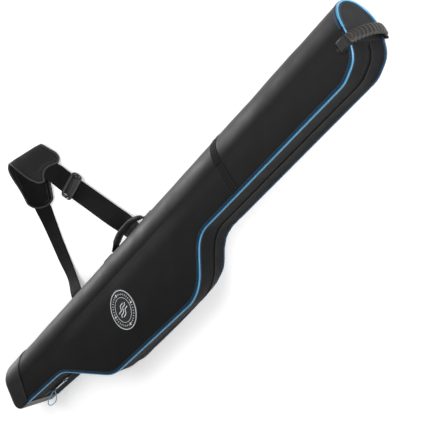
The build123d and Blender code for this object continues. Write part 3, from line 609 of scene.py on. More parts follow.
# wrap band over the seam between the two sections
def band_grid_near():
    P = []
    for x in np.linspace(939, 960, 7):
        yo = y_front(x)
        row = []
        for y in np.linspace(HINGE_Y - 1.7, yo + 6.8, 22):
            edge = 1 - abs((x - 949.5) / 10.5) ** 6
            row.append((x, y, THICK + crown(x, y, yo) + 0.15 + 0.75 * edge))
        P.append(row)
    return np.array(P)


band_flap = thick_grid("seam_band_near", band_grid_near(), 0.8, M["gusset"], outward=(0, 0, 1))
place(band_flap, "case_panel", ("seam_band_flap",))


def band_grid_spine():
    P = []
    for x in np.linspace(939, 960, 7):
        edge = 1 - abs((x - 949.5) / 10.5) ** 6
        ring = shell_ring(x, y_front(x))[:46]
        row = []
        for k, (y, z, _) in enumerate(ring):
            dy, dz = (y + SPINE_A) / SPINE_A ** 2, (z - ZC) / ZC ** 2
            ln = math.hypot(dy, dz) or 1
            if y < -SPINE_A + 1:
                dy, dz, ln = 0, 1, 1
            h = 0.15 + 0.75 * edge
            row.append((x, y + dy / ln * h, z + dz / ln * h))
        P.append(row)
    return np.array(P)


bs = band_grid_spine()
bs = bs[:, :44]
band_spine = thick_grid("seam_band_spine_side", bs, 0.8, M["gusset"], outward=(0, 1, 0))
place(band_spine, "case", ("seam_band_spine",))


# ------------------------------------------------------------------ gusset
def gusset_grid(Q, z_a, z_b, rows=12, near=True):
    """Gusset half from the zip edge z_a to the piping edge z_b."""
    N = normals2(Q)
    P = np.zeros((len(Q), rows, 3))
    for i, (q, n) in enumerate(zip(Q, N)):
        za = z_a(q[0]) if callable(z_a) else z_a
        for j, t in enumerate(np.linspace(0, 1, rows)):
            z = za + (z_b - za) * t
            d = 0.3 + 0.9 * math.sin(math.pi * t) - 0.5 * smooth((0.12 - t) / 0.12)
            d += 0.5 * nz(q[0], z * 1.5, 20.0, 60, 3.3) * math.sin(math.pi * t)
            if t > 0.86:
                d += 1.3 * ((t - 0.86) / 0.14) ** 2      # tucks under the piping
            d += tuck(q[0], z)
            P[i, j] = (q[0] - n[0] * d, q[1] - n[1] * d, z)
    return P


def slot_half(x):
    """Half width of the visible zip slot."""
    return 5.3 + (3.1 - 5.3) * float(smooth((x - 205) / 60))


GEND = -84.5


def end_at(Q, y_end):
    """Stops a front line on the end face at y_end."""
    k = [i for i in range(len(Q)) if not (Q[i][0] > 1300 and Q[i][1] > y_end)]
    Q = Q[k]
    return np.vstack([Q, [y_line_x(y_end), y_end]])


def y_line_x(y):
    seg = FRONT[FRONT[:, 0] > 1290]
    return float(np.interp(y, seg[:, 1], seg[:, 0]))


GQ_reel = cut(FRONT, 46.0, SPLIT)
GQ_rod = end_at(cut(FRONT, SPLIT, 1346), GEND)
gn_reel = thick_grid("gusset_near_reel", gusset_grid(GQ_reel, lambda x: ZC + slot_half(x), 87.5), 1.4, M["gusset"], outward=(0, -1, 0))
place(gn_reel, "case_panel", ("gusset_near_butt",), BLEND_REEL)
gn_rod = thick_grid("gusset_near_rod", gusset_grid(GQ_rod, lambda x: ZC + slot_half(x), 87.5), 1.4, M["gusset"], outward=(0, -1, 0))
place(gn_rod, "case_panel", ("gusset_near_flap", "gusset_near_top"), BLEND_ROD)
GQ_all = end_at(cut(FRONT, 46.0, 1346), GEND)
gf = thick_grid("gusset_far_side", gusset_grid(GQ_all, lambda x: ZC - slot_half(x), 3.5), 1.4, M["gusset"], outward=(0, -1, 0))
place(gf, "case", ("gusset_far",))


# ------------------------------------------------------------------ zip
def strip_grid(Q, d_fun, z0, z1, rows=4):
    N = normals2(Q)
    P = np.zeros((len(Q), rows, 3))
    for i, (q, n) in enumerate(zip(Q, N)):
        for j, t in enumerate(np.linspace(0, 1, rows)):
            z = z0 + (z1 - z0) * t
            d = d_fun(i, t) + tuck(q[0], z)
            P[i, j] = (q[0] - n[0] * d, q[1] - n[1] * d, z)
    return P


for nm, Q, z0, z1, body, bl, nodes in (
        ("zip_tape_far_side", GQ_all, ZC - 14, ZC - 1.8, "case", None, ("zip_tape_far",)),
        ("zip_tape_reel", GQ_reel, ZC + 1.8, ZC + 14, "case_panel", BLEND_REEL, ("zip_tape_near_butt",)),
        ("zip_tape_rod", GQ_rod, ZC + 1.8, ZC + 14, "case_panel", BLEND_ROD, ("zip_tape_near_flap", "zip_tape_near_top"))):
    Q = Q[Q[:, 0] > 84]
    ob = thick_grid(nm, strip_grid(Q, lambda i, t: 2.7, z0, z1), 0.8, M["tape"], outward=(0, -1, 0))
    place(ob, body, nodes, bl)


def fine_line(Q, step):
    S = np.concatenate([[0], np.cumsum(np.linalg.norm(np.diff(Q, axis=0), axis=1))])
    s = np.arange(0, S[-1], step)
    return np.stack([np.interp(s, S, Q[:, 0]), np.interp(s, S, Q[:, 1])], 1)


for nm, Q, z0, z1, body, bl, nodes, ph in (
        ("zip_coil_far_side", GQ_all, ZC - 3.0, ZC - 0.15, "case", None, ("zip_coil_far",), 0.0),
        ("zip_coil_reel", GQ_reel, ZC + 0.15, ZC + 3.0, "case_panel", BLEND_REEL, ("zip_coil_near_butt",), math.pi),
        ("zip_coil_rod", GQ_rod, ZC + 0.15, ZC + 3.0, "case_panel", BLEND_ROD, ("zip_coil_near_flap", "zip_coil_near_top"), math.pi)):
    Q = fine_line(Q[(Q[:, 0] > 92)], 0.75)
    ob = thick_grid(nm, strip_grid(Q, lambda i, t: 1.75 + 0.45 * math.cos(2 * math.pi * i / 4 + ph) + 0.6 * abs(2 * t - 1) ** 2, z0, z1, 5),
                    0.7, M["coil"], outward=(0, -1, 0), sharp=80)
    place(ob, body, nodes, bl)


# ------------------------------------------------------------------ piping
def pipe(name, line, r=1.55, body="case", nodes=(), bl=None, K=14, mat="pipe"):
    line = np.asarray(line, float)
    T = unit(np.gradient(line, axis=0))
    up = np.array([0, 0, 1.0])
    A = unit(np.cross(T, up)) if abs(T[len(T) // 2][2]) < 0.9 else unit(np.cross(T, [0, 1.0, 0]))
    B = unit(np.cross(A, T))

    def prof(i, ang):
        if ang is None:
            return K
        return r * math.cos(ang), r * math.sin(ang)
    ob = tube(name, line, A, B, prof, M[mat])
    place(ob, body, nodes, bl)
    return ob


def lift(Q, d, z):
    N = normals2(Q)
    E = Q - N * (d + np.array([tuck(q[0], z) for q in Q]))[:, None]
    return np.column_stack([E, np.full(len(E), z)])


ZN, ZF = THICK - 2.5, 2.5
PQ_rod = cut(FRONT, SPLIT, 1346)
PQ_rod = end_at(PQ_rod, -55.0)
pipe("piping_near_reel", lift(GQ_reel, 0.5, ZN), body="case_panel", nodes=("piping_near_butt",), bl=BLEND_REEL)
pipe("piping_near_rod", lift(PQ_rod, 0.5, ZN), body="case_panel", nodes=("piping_near_flap", "piping_near_top"), bl=BLEND_ROD)
PQ_all = end_at(cut(FRONT, 46.0, 1346), -55.0)
# the far piping takes the darkened cord copy, painted shade
pipe("piping_far_side", lift(PQ_all, 0.5, ZF + 0.01), nodes=("piping_far",), mat="pipe_painted_shade")
XE = 1344.5
arc = [(XE, -SPINE_A + (SPINE_A - 2.5) * math.cos(a), ZC + (ZC - 2.5) * math.sin(a)) for a in np.linspace(math.pi / 2, -math.pi / 2, 70)]
L = np.array(arc)
T = unit(np.gradient(L, axis=0))
A = np.tile(np.array([1.0, 0, 0]), (len(L), 1))
B = unit(np.cross(T, A))
# the end arc takes the painted-light copy of the cord colour
ob = tube("piping_over_spine", L, A, B, lambda i, g: 14 if g is None else (2.4 * math.cos(g), 2.4 * math.sin(g)), M["pipe_end"])
place(ob, "case", ("piping_end",))


def flange(name, Q, near, on_panel, body, bl=None, width=4.2):
    """Flat edge of the piping tape, sewn beside the bead."""
    N = normals2(Q)
    P = np.zeros((len(Q), 6, 3))
    for i, (q, n) in enumerate(zip(Q, N)):
        for j, t in enumerate(np.linspace(0, 1, 6)):
            if on_panel:
                d = 1.5 + (width + 0.7) * t + (0.0 if near else tuck(q[0], 0))
                x, y = q[0] - n[0] * d, q[1] - n[1] * d
                h = crown(x, y, q[1]) if near else -1.6 * max(0.0, 1 - (y - q[1]) / 13.0) ** 2
                lift_ = 0.55 * (1 - t ** 4)
                z = THICK + h + lift_ if near else max(0.05, -h - 0.1)
            else:
                z = (88.0 - width * t) if near else (3.6 + width * t)
                d = 0.1 - 0.35 * (1 - t ** 3) + tuck(q[0], z)
                x, y = q[0] - n[0] * d, q[1] - n[1] * d
            P[i, j] = (x, y, z)
    ob = thick_grid(name, P, 0.5, M["flange"], outward=(0, 0, 1) if (on_panel and near) else ((0, 0, -1) if on_panel else (0, -1, 0)))
    place(ob, body, (), bl)


flange("piping_tape_near_reel", GQ_reel, True, True, "case_panel", BLEND_REEL)
flange("piping_tape_near_rod", end_at(cut(FRONT, SPLIT, 1346), -60.0), True, True, "case_panel", BLEND_ROD)
flange("piping_tape_gusset_reel", GQ_reel, True, False, "case_panel", BLEND_REEL, 4.5)
flange("piping_tape_gusset_rod", GQ_rod, True, False, "case_panel", BLEND_ROD, 4.5)
flange("piping_tape_gusset_far", GQ_all, False, False, "case", None, 4.0)


# piping tape on the shell side of the end arc and on the end face
def end_flange(name, inner):
    P = []
    for a in np.linspace(math.pi / 2, -math.pi / 2, 70):
        row = []
        for t in np.linspace(0, 1, 5):
            if inner:
                s = 4.6 + 5.0 * t
                row.append((1345.3 + 0.5 * (1 - t), -SPINE_A + (SPINE_A - s) * math.cos(a), ZC + (ZC - s) * math.sin(a)))
            else:
                s = -0.55 * (1 - t ** 4)
                row.append((1343.0 - 6.0 * t, -SPINE_A + (SPINE_A - s) * math.cos(a), max(0.0, ZC + (ZC - s) * math.sin(a))))
        P.append(row)
    ob = thick_grid(name, np.array(P), 0.5, M["flange"], outward=(1, 0, 0) if inner else (0, 1, 0))
    place(ob, "case")


end_flange("piping_tape_end_face", True)
end_flange("piping_tape_end_shell", False)

# ------------------------------------------------------------------ end cap
P = []
for y in np.concatenate([np.linspace(-7.0, -55, 26), np.linspace(-57, GEND + 0.2, 10)]):
    h = 40.4 if y < -SPINE_A else 40.4 * math.sqrt(max(0.0, 1 - ((y + SPINE_A) / (SPINE_A - 5.1)) ** 2))
    row = []
    xf = 1345.0 if y > -61 else y_line_x(y)
    for t in np.linspace(-1, 1, 21):
        bulge = 1.6 * (1 - t * t) * smooth((y + 84) / 20) + 0.4 * nz(y, 40 * t, 3.0, 30, 8.8)
        row.append((xf - 0.3 + bulge, y, ZC + h * t))
    P.append(row)
endcap = thick_grid("end_cap_panel", np.array(P), 1.6, M["endcap"], outward=(1, 0, 0))
place(endcap, "case", ("end_cap",))


# ------------------------------------------------------------------ base cap
def base_cap():
    pts9, r9 = inset(-1.6)
    # half perimeter shape at full size: list of (f, z) where f = 0 spine, 1 front
    K = 96
    yf = -113.6
    ring = []
    top, bot, ys = THICK + 1.4, 0.0, 1.6
    a_, b_ = SPINE_A + 1.6, (top - bot) / 2
    zc = (top + bot) / 2
    rc = 5.0
    for t in np.linspace(0, 1, 12, endpoint=False):
        ring.append((-SPINE_A + (yf + rc + SPINE_A) * t, top))
    for g in np.linspace(0, math.pi / 2, 6, endpoint=False):
        ring.append((yf + rc - rc * math.sin(g), top - rc + rc * math.cos(g)))
    for t in np.linspace(0, 1, 16, endpoint=False):
        ring.append((yf, top - rc + (bot + rc - top + rc) * t))
    for g in np.linspace(0, math.pi / 2, 6, endpoint=False):
        ring.append((yf + rc - rc * math.cos(g), bot + rc - rc * math.sin(g)))
    for t in np.linspace(0, 1, 12, endpoint=False):
        ring.append((yf + rc + (-SPINE_A - yf - rc) * t, bot))
    for g in np.linspace(-math.pi / 2, math.pi / 2, 44, endpoint=False):
        ring.append((-SPINE_A + a_ * math.cos(g), zc + b_ * math.sin(g)))
    ring = np.array(ring)
    f = (ring[:, 0] - ys) / (yf - ys)            # 0 at the spine, 1 at the front
    rows = []

    def station(x_s, y_s, x_f, y_f, zr, bul=0.0):
        x = x_s + (x_f - x_s) * f
        y = y_s + (y_f - y_s) * f
        z = zc + (ring[:, 1] - zc) * zr
        return np.column_stack([x + bul, y, z])
    xe_s, xe_f = 84.4, 55.6
    # rolled edge
    e0 = station(xe_s, 0.2, xe_f, yf + 1.5, 0.972)
    rows.append(e0)
    e1 = station(xe_s + 0.6, 1.2, xe_f + 0.6, yf + 0.4, 0.995)
    rows.append(e1)
    # front line of the cap toward the butt corner, and its round corner
    cr, sr = 27.0, 5.0
    xs_end, xf_end = 5.0, -5.6
    for t in np.linspace(0, 1, 14):
        xs = xe_s + (xs_end + sr - xe_s) * t
        xf = xe_f + (xf_end + cr - xe_f) * t
        yff = yf + (1.8) * t
        rows.append(station(xs, ys, xf, yff, 1.0))
    for g in np.linspace(0, math.pi / 2, 12)[1:]:
        xs = xs_end + sr - sr * math.sin(g)
        xf = xf_end + cr - cr * math.sin(g)
        y_s = ys - sr * (1 - math.cos(g))
        y_f = yf + 1.8 + cr * (1 - math.cos(g))
        rows.append(station(xs, y_s, xf, y_f, 1 - 0.085 * (1 - math.cos(g))))
    last = rows[-1]
    cen = last.mean(axis=0)
    for s in np.linspace(1, 0.02, 9)[1:]:
        q = cen + (last - cen) * s
        q[:, 0] -= 2.2 * (1 - s * s)
        rows.append(q)
    G = np.array(rows)
    # softness of the padded corner
    for i in range(2, len(G)):
        for k in range(G.shape[1]):
            w = 0.45 * nz(G[i, k, 0] + G[i, k, 1], G[i, k, 2], 7.0, 34, 5.1)
            G[i, k, 1] += w * 0.6
    G[:, :, 2] = np.clip(G[:, :, 2], 0.0, None)
    nu, nv = G.shape[:2]
    inner = G.copy()
    c0 = G.mean(axis=(0, 1))
    V = list(G.reshape(-1, 3)) + [G[-1].mean(axis=0)]
    F = grid_faces(nu, nv, 0, wrap_v=True)
    c = nu * nv
    for k in range(nv):
        F.append((c, (nu - 1) * nv + (k + 1) % nv, (nu - 1) * nv + k))
    ob = add_mesh("base_cap_skin", arr(np.array(V)), F, M["base"], sharp=60)
    fix_normals(ob)
    md = ob.modifiers.new("thick", 'SOLIDIFY')
    md.thickness = 0.0016
    md.offset = -1
    apply(ob)
    return ob


def apply(ob):
    """Applies all modifiers in place."""
    dg = bpy.context.evaluated_depsgraph_get()
    me = bpy.data.meshes.new_from_object(ob.evaluated_get(dg))
    old = ob.data
    ob.modifiers.clear()
    ob.data = me
    return ob


bc = base_cap()
place(bc, "case", ("base_cap",))

# ------------------------------------------------------------------ stitches
def dense(line, step):
    """Resample an (n, k) line, measured on its first three columns."""
    line = np.asarray(line, float)
    S = np.concatenate([[0], np.cumsum(np.linalg.norm(np.diff(line[:, :3], axis=0), axis=1))])
    n = max(2, int(S[-1] / step) + 1)
    s = np.linspace(0, S[-1], n)
    return np.stack([np.interp(s, S, line[:, k]) for k in range(line.shape[1])], 1)


def stitches(name, lines, body, pitch=4.6, length=3.2, r=0.32, mat="thread", bl=None, rise=0.12):
    """Thread dashes along lines of (point, normal) rows in mm."""
    V, F = [], []
    K = 6
    for P, N in lines:
        D = dense(np.hstack([np.asarray(P, float), np.asarray(N, float)]), pitch)
        for i in range(len(D) - 1):
            a, b = D[i, :3], D[i + 1, :3]
            t = b - a
            ln = np.linalg.norm(t)
            if ln < 1e-6:
                continue
            t = t / ln
            n = unit(D[i, 3:6] - t * float(D[i, 3:6] @ t))
            w = np.cross(t, n)
            base = len(V)
            m = (a + b) / 2
            for q, (u, rr, up) in enumerate(((-0.5, 0.35, -0.25), (-0.32, 1.0, 0.10), (0.32, 1.0, 0.10), (0.5, 0.35, -0.25))):
                c = m + t * (u * length) + n * (up * r + rise)
                for k in range(K):
                    g = 2 * math.pi * k / K
                    V.append(c + w * (rr * r * math.cos(g)) + n * (rr * r * math.sin(g)))
            F += grid_faces(4, K, base, wrap_v=True)
            F.append(tuple(base + k for k in range(K)))
            F.append(tuple(base + 3 * K + K - 1 - k for k in range(K)))
    ob = add_mesh(name, arr(np.array(V)), F, M[mat], sharp=70)
    fix_normals(ob)
    place(ob, body, (), bl)
    return ob


def frames_of(S, n):
    """Dense strap frames: centre, along, across, up, width."""
    D = np.array([list(c) + list(unit(w)) + [wd] for c, w, wd in S], float)
    Q = spline(D, n)
    T = unit(np.gradient(Q[:, :3], axis=0))
    Wv = unit(Q[:, 3:6])
    N = unit(np.cross(Wv, unit(T - Wv * np.sum(Wv * T, axis=1)[:, None])))
    return Q[:, :3], T, Wv, N, Q[:, 6]


def length_of(C):
    return float(np.sum(np.linalg.norm(np.diff(C, axis=0), axis=1)))


def webbing(name, S, thick, mat, body, nodes=(), pitch=2.5, rib=0.16, m=15, floor_z=0.15, wave=0.0):
    """Woven strap with cross ribs and a selvedge."""
    C, T, Wv, N, wd = frames_of(S, 40)
    n = int(length_of(C) / (pitch / 4)) + 2
    C, T, Wv, N, wd = frames_of(S, n)
    L_ = np.concatenate([[0], np.cumsum(np.linalg.norm(np.diff(C, axis=0), axis=1))])
    half = thick / 2
    V = []
    us = np.linspace(-1, 1, m)
    for i in range(n):
        rr = rib * abs(math.cos(math.pi * L_[i] / pitch))
        w2 = wd[i] / 2 - half * 0.6
        loop = []
        for u in us:
            e = 1 - 0.45 * max(0.0, (abs(u) - 0.82) / 0.18) ** 2
            g = 0.22 if 0.80 < abs(u) < 0.9 else 0.0
            k = 0.6 if abs(u) > 0.86 else 1.0
            loop.append((u * w2, half * e - rib + rr * k - g))
        loop.append((w2 + half * 0.45, half * 0.30))
        loop.append((w2 + half * 0.45, -half * 0.30))
        for u in us[::-1]:
            e = 1 - 0.45 * max(0.0, (abs(u) - 0.82) / 0.18) ** 2
            loop.append((u * w2, -(half * e - rib + rr)))
        loop.append((-w2 - half * 0.45, -half * 0.30))
        loop.append((-w2 - half * 0.45, half * 0.30))
        bend = wave * math.sin(L_[i] / 23.0)
        for a, b in loop:
            p = C[i] + Wv[i] * a + N[i] * (b + bend * (a / (wd[i] / 2)))
            if floor_z is not None and p[2] < floor_z:
                p[2] = floor_z
            V.append(p)
    K = len(loop)
    F = grid_faces(n, K, 0, wrap_v=True)
    F.append(tuple(range(K)))
    F.append(tuple((n - 1) * K + K - 1 - k for k in range(K)))
    ob = add_mesh(name, arr(np.array(V)), F, M[mat], sharp=55)
    fix_normals(ob)
    place(ob, body, nodes)
    return ob, (C, T, Wv, N, wd)


ARM_LOW = [((316, -1.5, 25.5), (1, 0, 0), 45), ((314, 16, 25), (0.99, -0.12, 0), 45), ((305, 54, 9.5), (0.90, -0.41, 0.12), 45),
           ((302, 102, 3.2), (0.905, -0.42, 0.02), 45), ((308, 149, 3.6), (0.924, -0.38, -0.04), 45),
           ((317.5, 195, 6.0), (0.90, -0.39, -0.16), 45), ((325.6, 228.6, 9.4), (0.87, -0.37, -0.30), 45),
           ((331.0, 239.5, 12.6), (0.87, -0.38, -0.28), 45), ((334.6, 246.5, 15.0), (0.86, -0.40, -0.30), 44)]
ARM_UP = [((583, -1.5, 25.5), (1, 0, 0), 45), ((575, 12, 19.5), (0.97, 0.17, -0.12), 45), ((556, 42, 14.0), (0.87, 0.45, -0.26), 45),
          ((535.5, 78.6, 17.5), (0.79, 0.45, -0.42), 45), ((493, 150.1, 17.5), (0.79, 0.45, -0.42), 45),
          ((450.5, 221.6, 17.5), (0.79, 0.45, -0.42), 45), ((433.0, 256, 19.0), (0.76, 0.36, -0.54), 44),
          ((425.2, 270.5, 22.6), (0.77, 0.31, -0.56), 43.5), ((420.8, 280, 26.8), (0.76, 0.27, -0.59), 43)]
PAD = [((424, 267, 21), (0.80, 0.36, -0.50), 66), ((419.5, 285, 29.3), (0.75, 0.24, -0.62), 84),
       ((409, 310, 35.3), (0.75, 0.12, -0.65), 85), ((397, 332, 36.3), (0.77, 0.03, -0.64), 85),
       ((388, 341, 34.3), (0.78, 0.00, -0.62), 85), ((379, 339, 32.3), (0.77, -0.02, -0.64), 85),
       ((373, 327, 32.3), (0.74, -0.14, -0.66), 85), ((366, 304, 31.3), (0.70, -0.33, -0.63), 83),
       ((354, 274, 24.6), (0.77, -0.45, -0.45), 80), ((341, 254, 18), (0.83, -0.46, -0.32), 77),
       ((332, 240, 14), (0.87, -0.40, -0.29), 74), ((328, 233, 12.3), (0.88, -0.38, -0.27), 70)]

low, low_f = webbing("strap_lower_webbing", ARM_LOW, 2.2, "web", "shoulder_strap", ("strap_lower_arm",), wave=0.25)
upw, up_f = webbing("strap_upper_webbing", ARM_UP, 2.2, "web", "shoulder_strap", ("strap_upper_arm",), wave=0.15)


def box_stitch(frames, s0, s1, inset_w=5.0, lift_=1.15, cross=True, side=1):
    """Sewn box with a cross on a strap, between two lengths along it."""
    C, T, Wv, N, wd = frames
    S = np.concatenate([[0], np.cumsum(np.linalg.norm(np.diff(C, axis=0), axis=1))])

    def at_(s, u):
        c = [np.interp(s, S, C[:, k]) for k in range(3)]
        w = unit([np.interp(s, S, Wv[:, k]) for k in range(3)])
        n = unit([np.interp(s, S, N[:, k]) for k in range(3)]) * side
        ww = np.interp(s, S, wd) / 2 - inset_w
        return np.array(c) + w * (u * ww) + n * lift_, n

    def run(p, q, m=12):
        A, B_ = [], []
        for t in np.linspace(0, 1, m):
            a, n = at_(p[0] + (q[0] - p[0]) * t, p[1] + (q[1] - p[1]) * t)
            A.append(a)
            B_.append(n)
        return np.array(A), np.array(B_)
    c = [(s0, -1), (s1, -1), (s1, 1), (s0, 1)]
    out = [run(c[k], c[(k + 1) % 4]) for k in range(4)]
    if cross:
        out += [run(c[0], c[2]), run(c[1], c[3])]
    return out


# the strap's sewn seams: cross seam on the lower arm, box seams at both ends
for side in (1, -1):
    stitches(f"strap_seams_{'up' if side > 0 else 'down'}",
             box_stitch(low_f, 118, 121, side=side, cross=False) + box_stitch(low_f, 14, 40, side=side)
             + box_stitch(up_f, 8, 34, side=side),
             "shoulder_strap", pitch=3.4, length=2.4, r=0.36)
# folded-over end of the webbing at the lower arm's cross seam
C, T, Wv, N, wd = low_f
S_ = np.concatenate([[0], np.cumsum(np.linalg.norm(np.diff(C, axis=0), axis=1))])
for sgn, nm in ((1, "strap_lower_overlap"), (-1, "strap_lower_overlap_under")):
    k0, k1 = int(np.searchsorted(S_, 10)), int(np.searchsorted(S_, 124))
    rows = []
    for k in list(range(k0, k1, 3)):
        off = 1.05 * sgn
        rows.append([C[k] + Wv[k] * (u * (wd[k] / 2 - 1.2)) + N[k] * off + N[k] * (0.9 * sgn) * (1 - 0.5 * abs(u) ** 8) for u in np.linspace(-1, 1, 15)])
    G = np.array(rows)
    G[:, :, 2] = np.clip(G[:, :, 2], 0.1, None)
    if sgn > 0:
        ob = thick_grid(nm, G, 0.9, M["web"], outward=(0, 0, 1))
        place(ob, "shoulder_strap")


# ------------------------------------------------------------------ shoulder pad
def pad_points():
    """Grid of the pad's middle surface with its normal and its distance to the edge."""
    C, T, Wv, N, wd = frames_of(PAD, 90)
    S = np.concatenate([[0], np.cumsum(np.linalg.norm(np.diff(C, axis=0), axis=1))])
    Lp = S[-1]
    nu, nv = 96, 37
    us = np.linspace(-1, 1, nv)
    P = np.zeros((nu, nv, 3)); NN = np.zeros((nu, nv, 3)); E = np.zeros((nu, nv)); SS = np.zeros((nu, nv))
    for j, u in enumerate(us):
        a = abs(u)
        sa = 13.5 * max(0.0, 1 - (a / 0.66) ** 2) if a < 0.66 else 9.0 * ((a - 0.66) / 0.34) ** 2
        sb = Lp - 15.0 * a ** 3
        for i, t in enumerate(np.linspace(0, 1, nu)):
            s = sa + (sb - sa) * t
            c = np.array([np.interp(s, S, C[:, k]) for k in range(3)])
            w = unit([np.interp(s, S, Wv[:, k]) for k in range(3)])
            n = unit([np.interp(s, S, N[:, k]) for k in range(3)])
            width = float(np.interp(s, S, wd))
            width = max(width, 78.0) if s < 40 else width
            width -= 3.0
            P[i, j] = c + w * (u * width / 2)
            NN[i, j] = n
            E[i, j] = min((1 - a) * width / 2, s - sa, sb - s)
            SS[i, j] = s
    return P, NN, E, SS


PP, PN, PE, PS = pad_points()


def pad_mesh(full):
    half = (2.55 if full else 2.3) * np.sqrt(np.clip(1 - (1 - np.minimum(PE, 5.0) / 5.0) ** 2, 0, 1)) + 0.45
    top = PP + PN * half[..., None]
    bot = PP - PN * half[..., None]
    nu, nv = PP.shape[:2]
    V = np.concatenate([top.reshape(-1, 3), bot.reshape(-1, 3)])
    n = nu * nv
    F = grid_faces(nu, nv, 0) + grid_faces(nu, nv, n, flip=True)
    rim = ([i * nv for i in range(nu)] + [(nu - 1) * nv + j for j in range(1, nv)]
           + [i * nv + nv - 1 for i in range(nu - 2, -1, -1)] + [j for j in range(nv - 2, 0, -1)])
    for a, b in zip(rim, rim[1:] + rim[:1]):
        F.append((a, b, b + n, a + n))
    ob = add_mesh("shoulder_pad_body", arr(V), F, M["pad"], sharp=60)
    fix_normals(ob)
    return ob, rim


pad, pad_rim = pad_mesh(True)
from mathutils.kdtree import KDTree
flatP = arr(PP).reshape(-1, 3)
kd = KDTree(len(flatP))
for i, p in enumerate(flatP):
    kd.insert(Vector(p), i)
kd.balance()
fN, fE, fS = PN.reshape(-1, 3), PE.reshape(-1), PS.reshape(-1)


def remesh(ob, voxel):
    md = ob.modifiers.new("remesh", 'REMESH')
    md.mode = 'VOXEL'
    md.voxel_size = voxel
    return apply(ob)


pad = remesh(pad, 0.0032)
rest = [v.co.copy() for v in pad.data.vertices]
md = pad.modifiers.new("cloth", 'CLOTH')
cs = md.settings
cs.use_pressure = True
cs.uniform_pressure_force = 4.0
cs.quality = 6
cs.mass = 0.3
cs.tension_stiffness = 25
cs.compression_stiffness = 25
cs.shear_stiffness = 12
cs.bending_stiffness = 4
cs.effector_weights.gravity = 0
md.collision_settings.use_collision = False
md.point_cache.frame_start, md.point_cache.frame_end = 1, 20
for f in range(1, 21):
    bpy.context.scene.frame_set(f)
pad = apply(pad)
bpy.context.scene.frame_set(1)
for v, r0 in zip(pad.data.vertices, rest):
    d = v.co - r0
    co, idx, dist = kd.find(r0)
    # soft swelling of the fill, held where the two faces are sewn together
    cap = 0.0017 * float(smooth(fE[idx] / 9.0))
    along = Vector(fN[idx]) * d.dot(Vector(fN[idx]))
    if along.length > cap:
        along = along * (cap / along.length) if along.length > 0 else along
    v.co = r0 + along
md = pad.modifiers.new("sub", 'SUBSURF')
md.levels = md.render_levels = 1
pad = apply(pad)
# sewn groove beside the edge, the cross seam by the opening, and the two faces' cloths
me = pad.data
me.materials.clear()
me.materials.append(M["pad"])
me.materials.append(M["pad_under"])
for v in me.vertices:
    co, idx, dist = kd.find(v.co)
    n = Vector(fN[idx])
    side = 1 if (v.co - co).dot(n) > 0 else -1
    e = fE[idx]
    g = 0.9 * math.exp(-((e - 8.0) / 1.5) ** 2)
    if e > 8.0:
        g = max(g, 0.8 * math.exp(-((fS[idx] - 32.0) / 1.5) ** 2))
    q = v.co * 1000
    g -= 0.35 * nz(q.x, q.y, q.z, 17, 2.0) * float(smooth((e - 8) / 6))
    v.co -= n * (side * g / 1000)
    v.co.z = max(v.co.z, 0.0002)
me.update()
for p in me.polygons:
    c, idx, dist = kd.find(p.center)
    p.material_index = 0 if (p.center - c).dot(Vector(fN[idx])) > 0 else 1
me.polygons.foreach_set("use_smooth", [True] * len(me.polygons))
place(pad, "shoulder_strap", ("shoulder_pad",))

# bound edge all the way round
nvp = PP.shape[1]
loopP = np.array([PP[k // nvp, k % nvp] for k in pad_rim])
loopN = np.array([PN[k // nvp, k % nvp] for k in pad_rim])
d = dense(np.hstack([np.vstack([loopP, loopP[:1]]), np.vstack([loopN, loopN[:1]])]), 2.2)[:-1]
for _ in range(3):
    d = (np.roll(d, 1, axis=0) + d * 2 + np.roll(d, -1, axis=0)) / 4
LP, LN = d[:, :3], unit(d[:, 3:6])
LT = unit(np.roll(LP, -1, axis=0) - np.roll(LP, 1, axis=0))
LN = unit(LN - LT * np.sum(LN * LT, axis=1)[:, None])
LB = np.cross(LT, LN)


def bind_prof(i, g):
    if g is None:
        return 16
    c, s = math.cos(g), math.sin(g)
    return (2.6 * math.copysign(abs(c) ** 0.7, c), 2.5 * math.copysign(abs(s) ** 0.8, s))


binding = tube("shoulder_pad_binding", LP, LN, LB, bind_prof, M["bind"], closed=True)
for v in binding.data.vertices:
    v.co.z = max(v.co.z, 0.0001)
place(binding, "shoulder_strap")

# seam thread beside the edge and across, on both faces
inner = [i for i in range(PP.shape[0])]


def offset_line(dist):
    """Line on the pad at a set distance from its edge."""
    pts = []
    cenP = PP[:, nvp // 2]
    for k in pad_rim:
        i, j = k // nvp, k % nvp
        p = PP[i, j]
        best = None
        di = 1 if i < PP.shape[0] / 2 else -1
        dj = 1 if j < nvp / 2 else -1
        ii, jj = i, j
        steps = 0
        while PE[ii, jj] < dist and steps < 80:
            on_u = j in (0, nvp - 1)
            on_s = i in (0, PP.shape[0] - 1)
            if on_u and 0 < ii < PP.shape[0] - 1 or (on_u and not on_s):
                jj += dj
            if on_s:
                ii += di
                if on_u:
                    jj += dj if steps % 2 else 0
            ii = min(max(ii, 0), PP.shape[0] - 1)
            jj = min(max(jj, 0), nvp - 1)
            steps += 1
        if PE[ii, jj] >= dist and np.linalg.norm(PP[ii, jj] - p) < 2.2 * dist:
            pts.append(np.concatenate([PP[ii, jj], PN[ii, jj]]))
    out = np.array(pts)
    keep_ = [0]
    for k in range(1, len(out)):
        if np.linalg.norm(out[k, :3] - out[keep_[-1], :3]) > 1.5:
            keep_.append(k)
    out = out[keep_]
    for _ in range(4):
        out = (np.roll(out, 1, axis=0) + 2 * out + np.roll(out, -1, axis=0)) / 4
    return np.vstack([out, out[:1]])


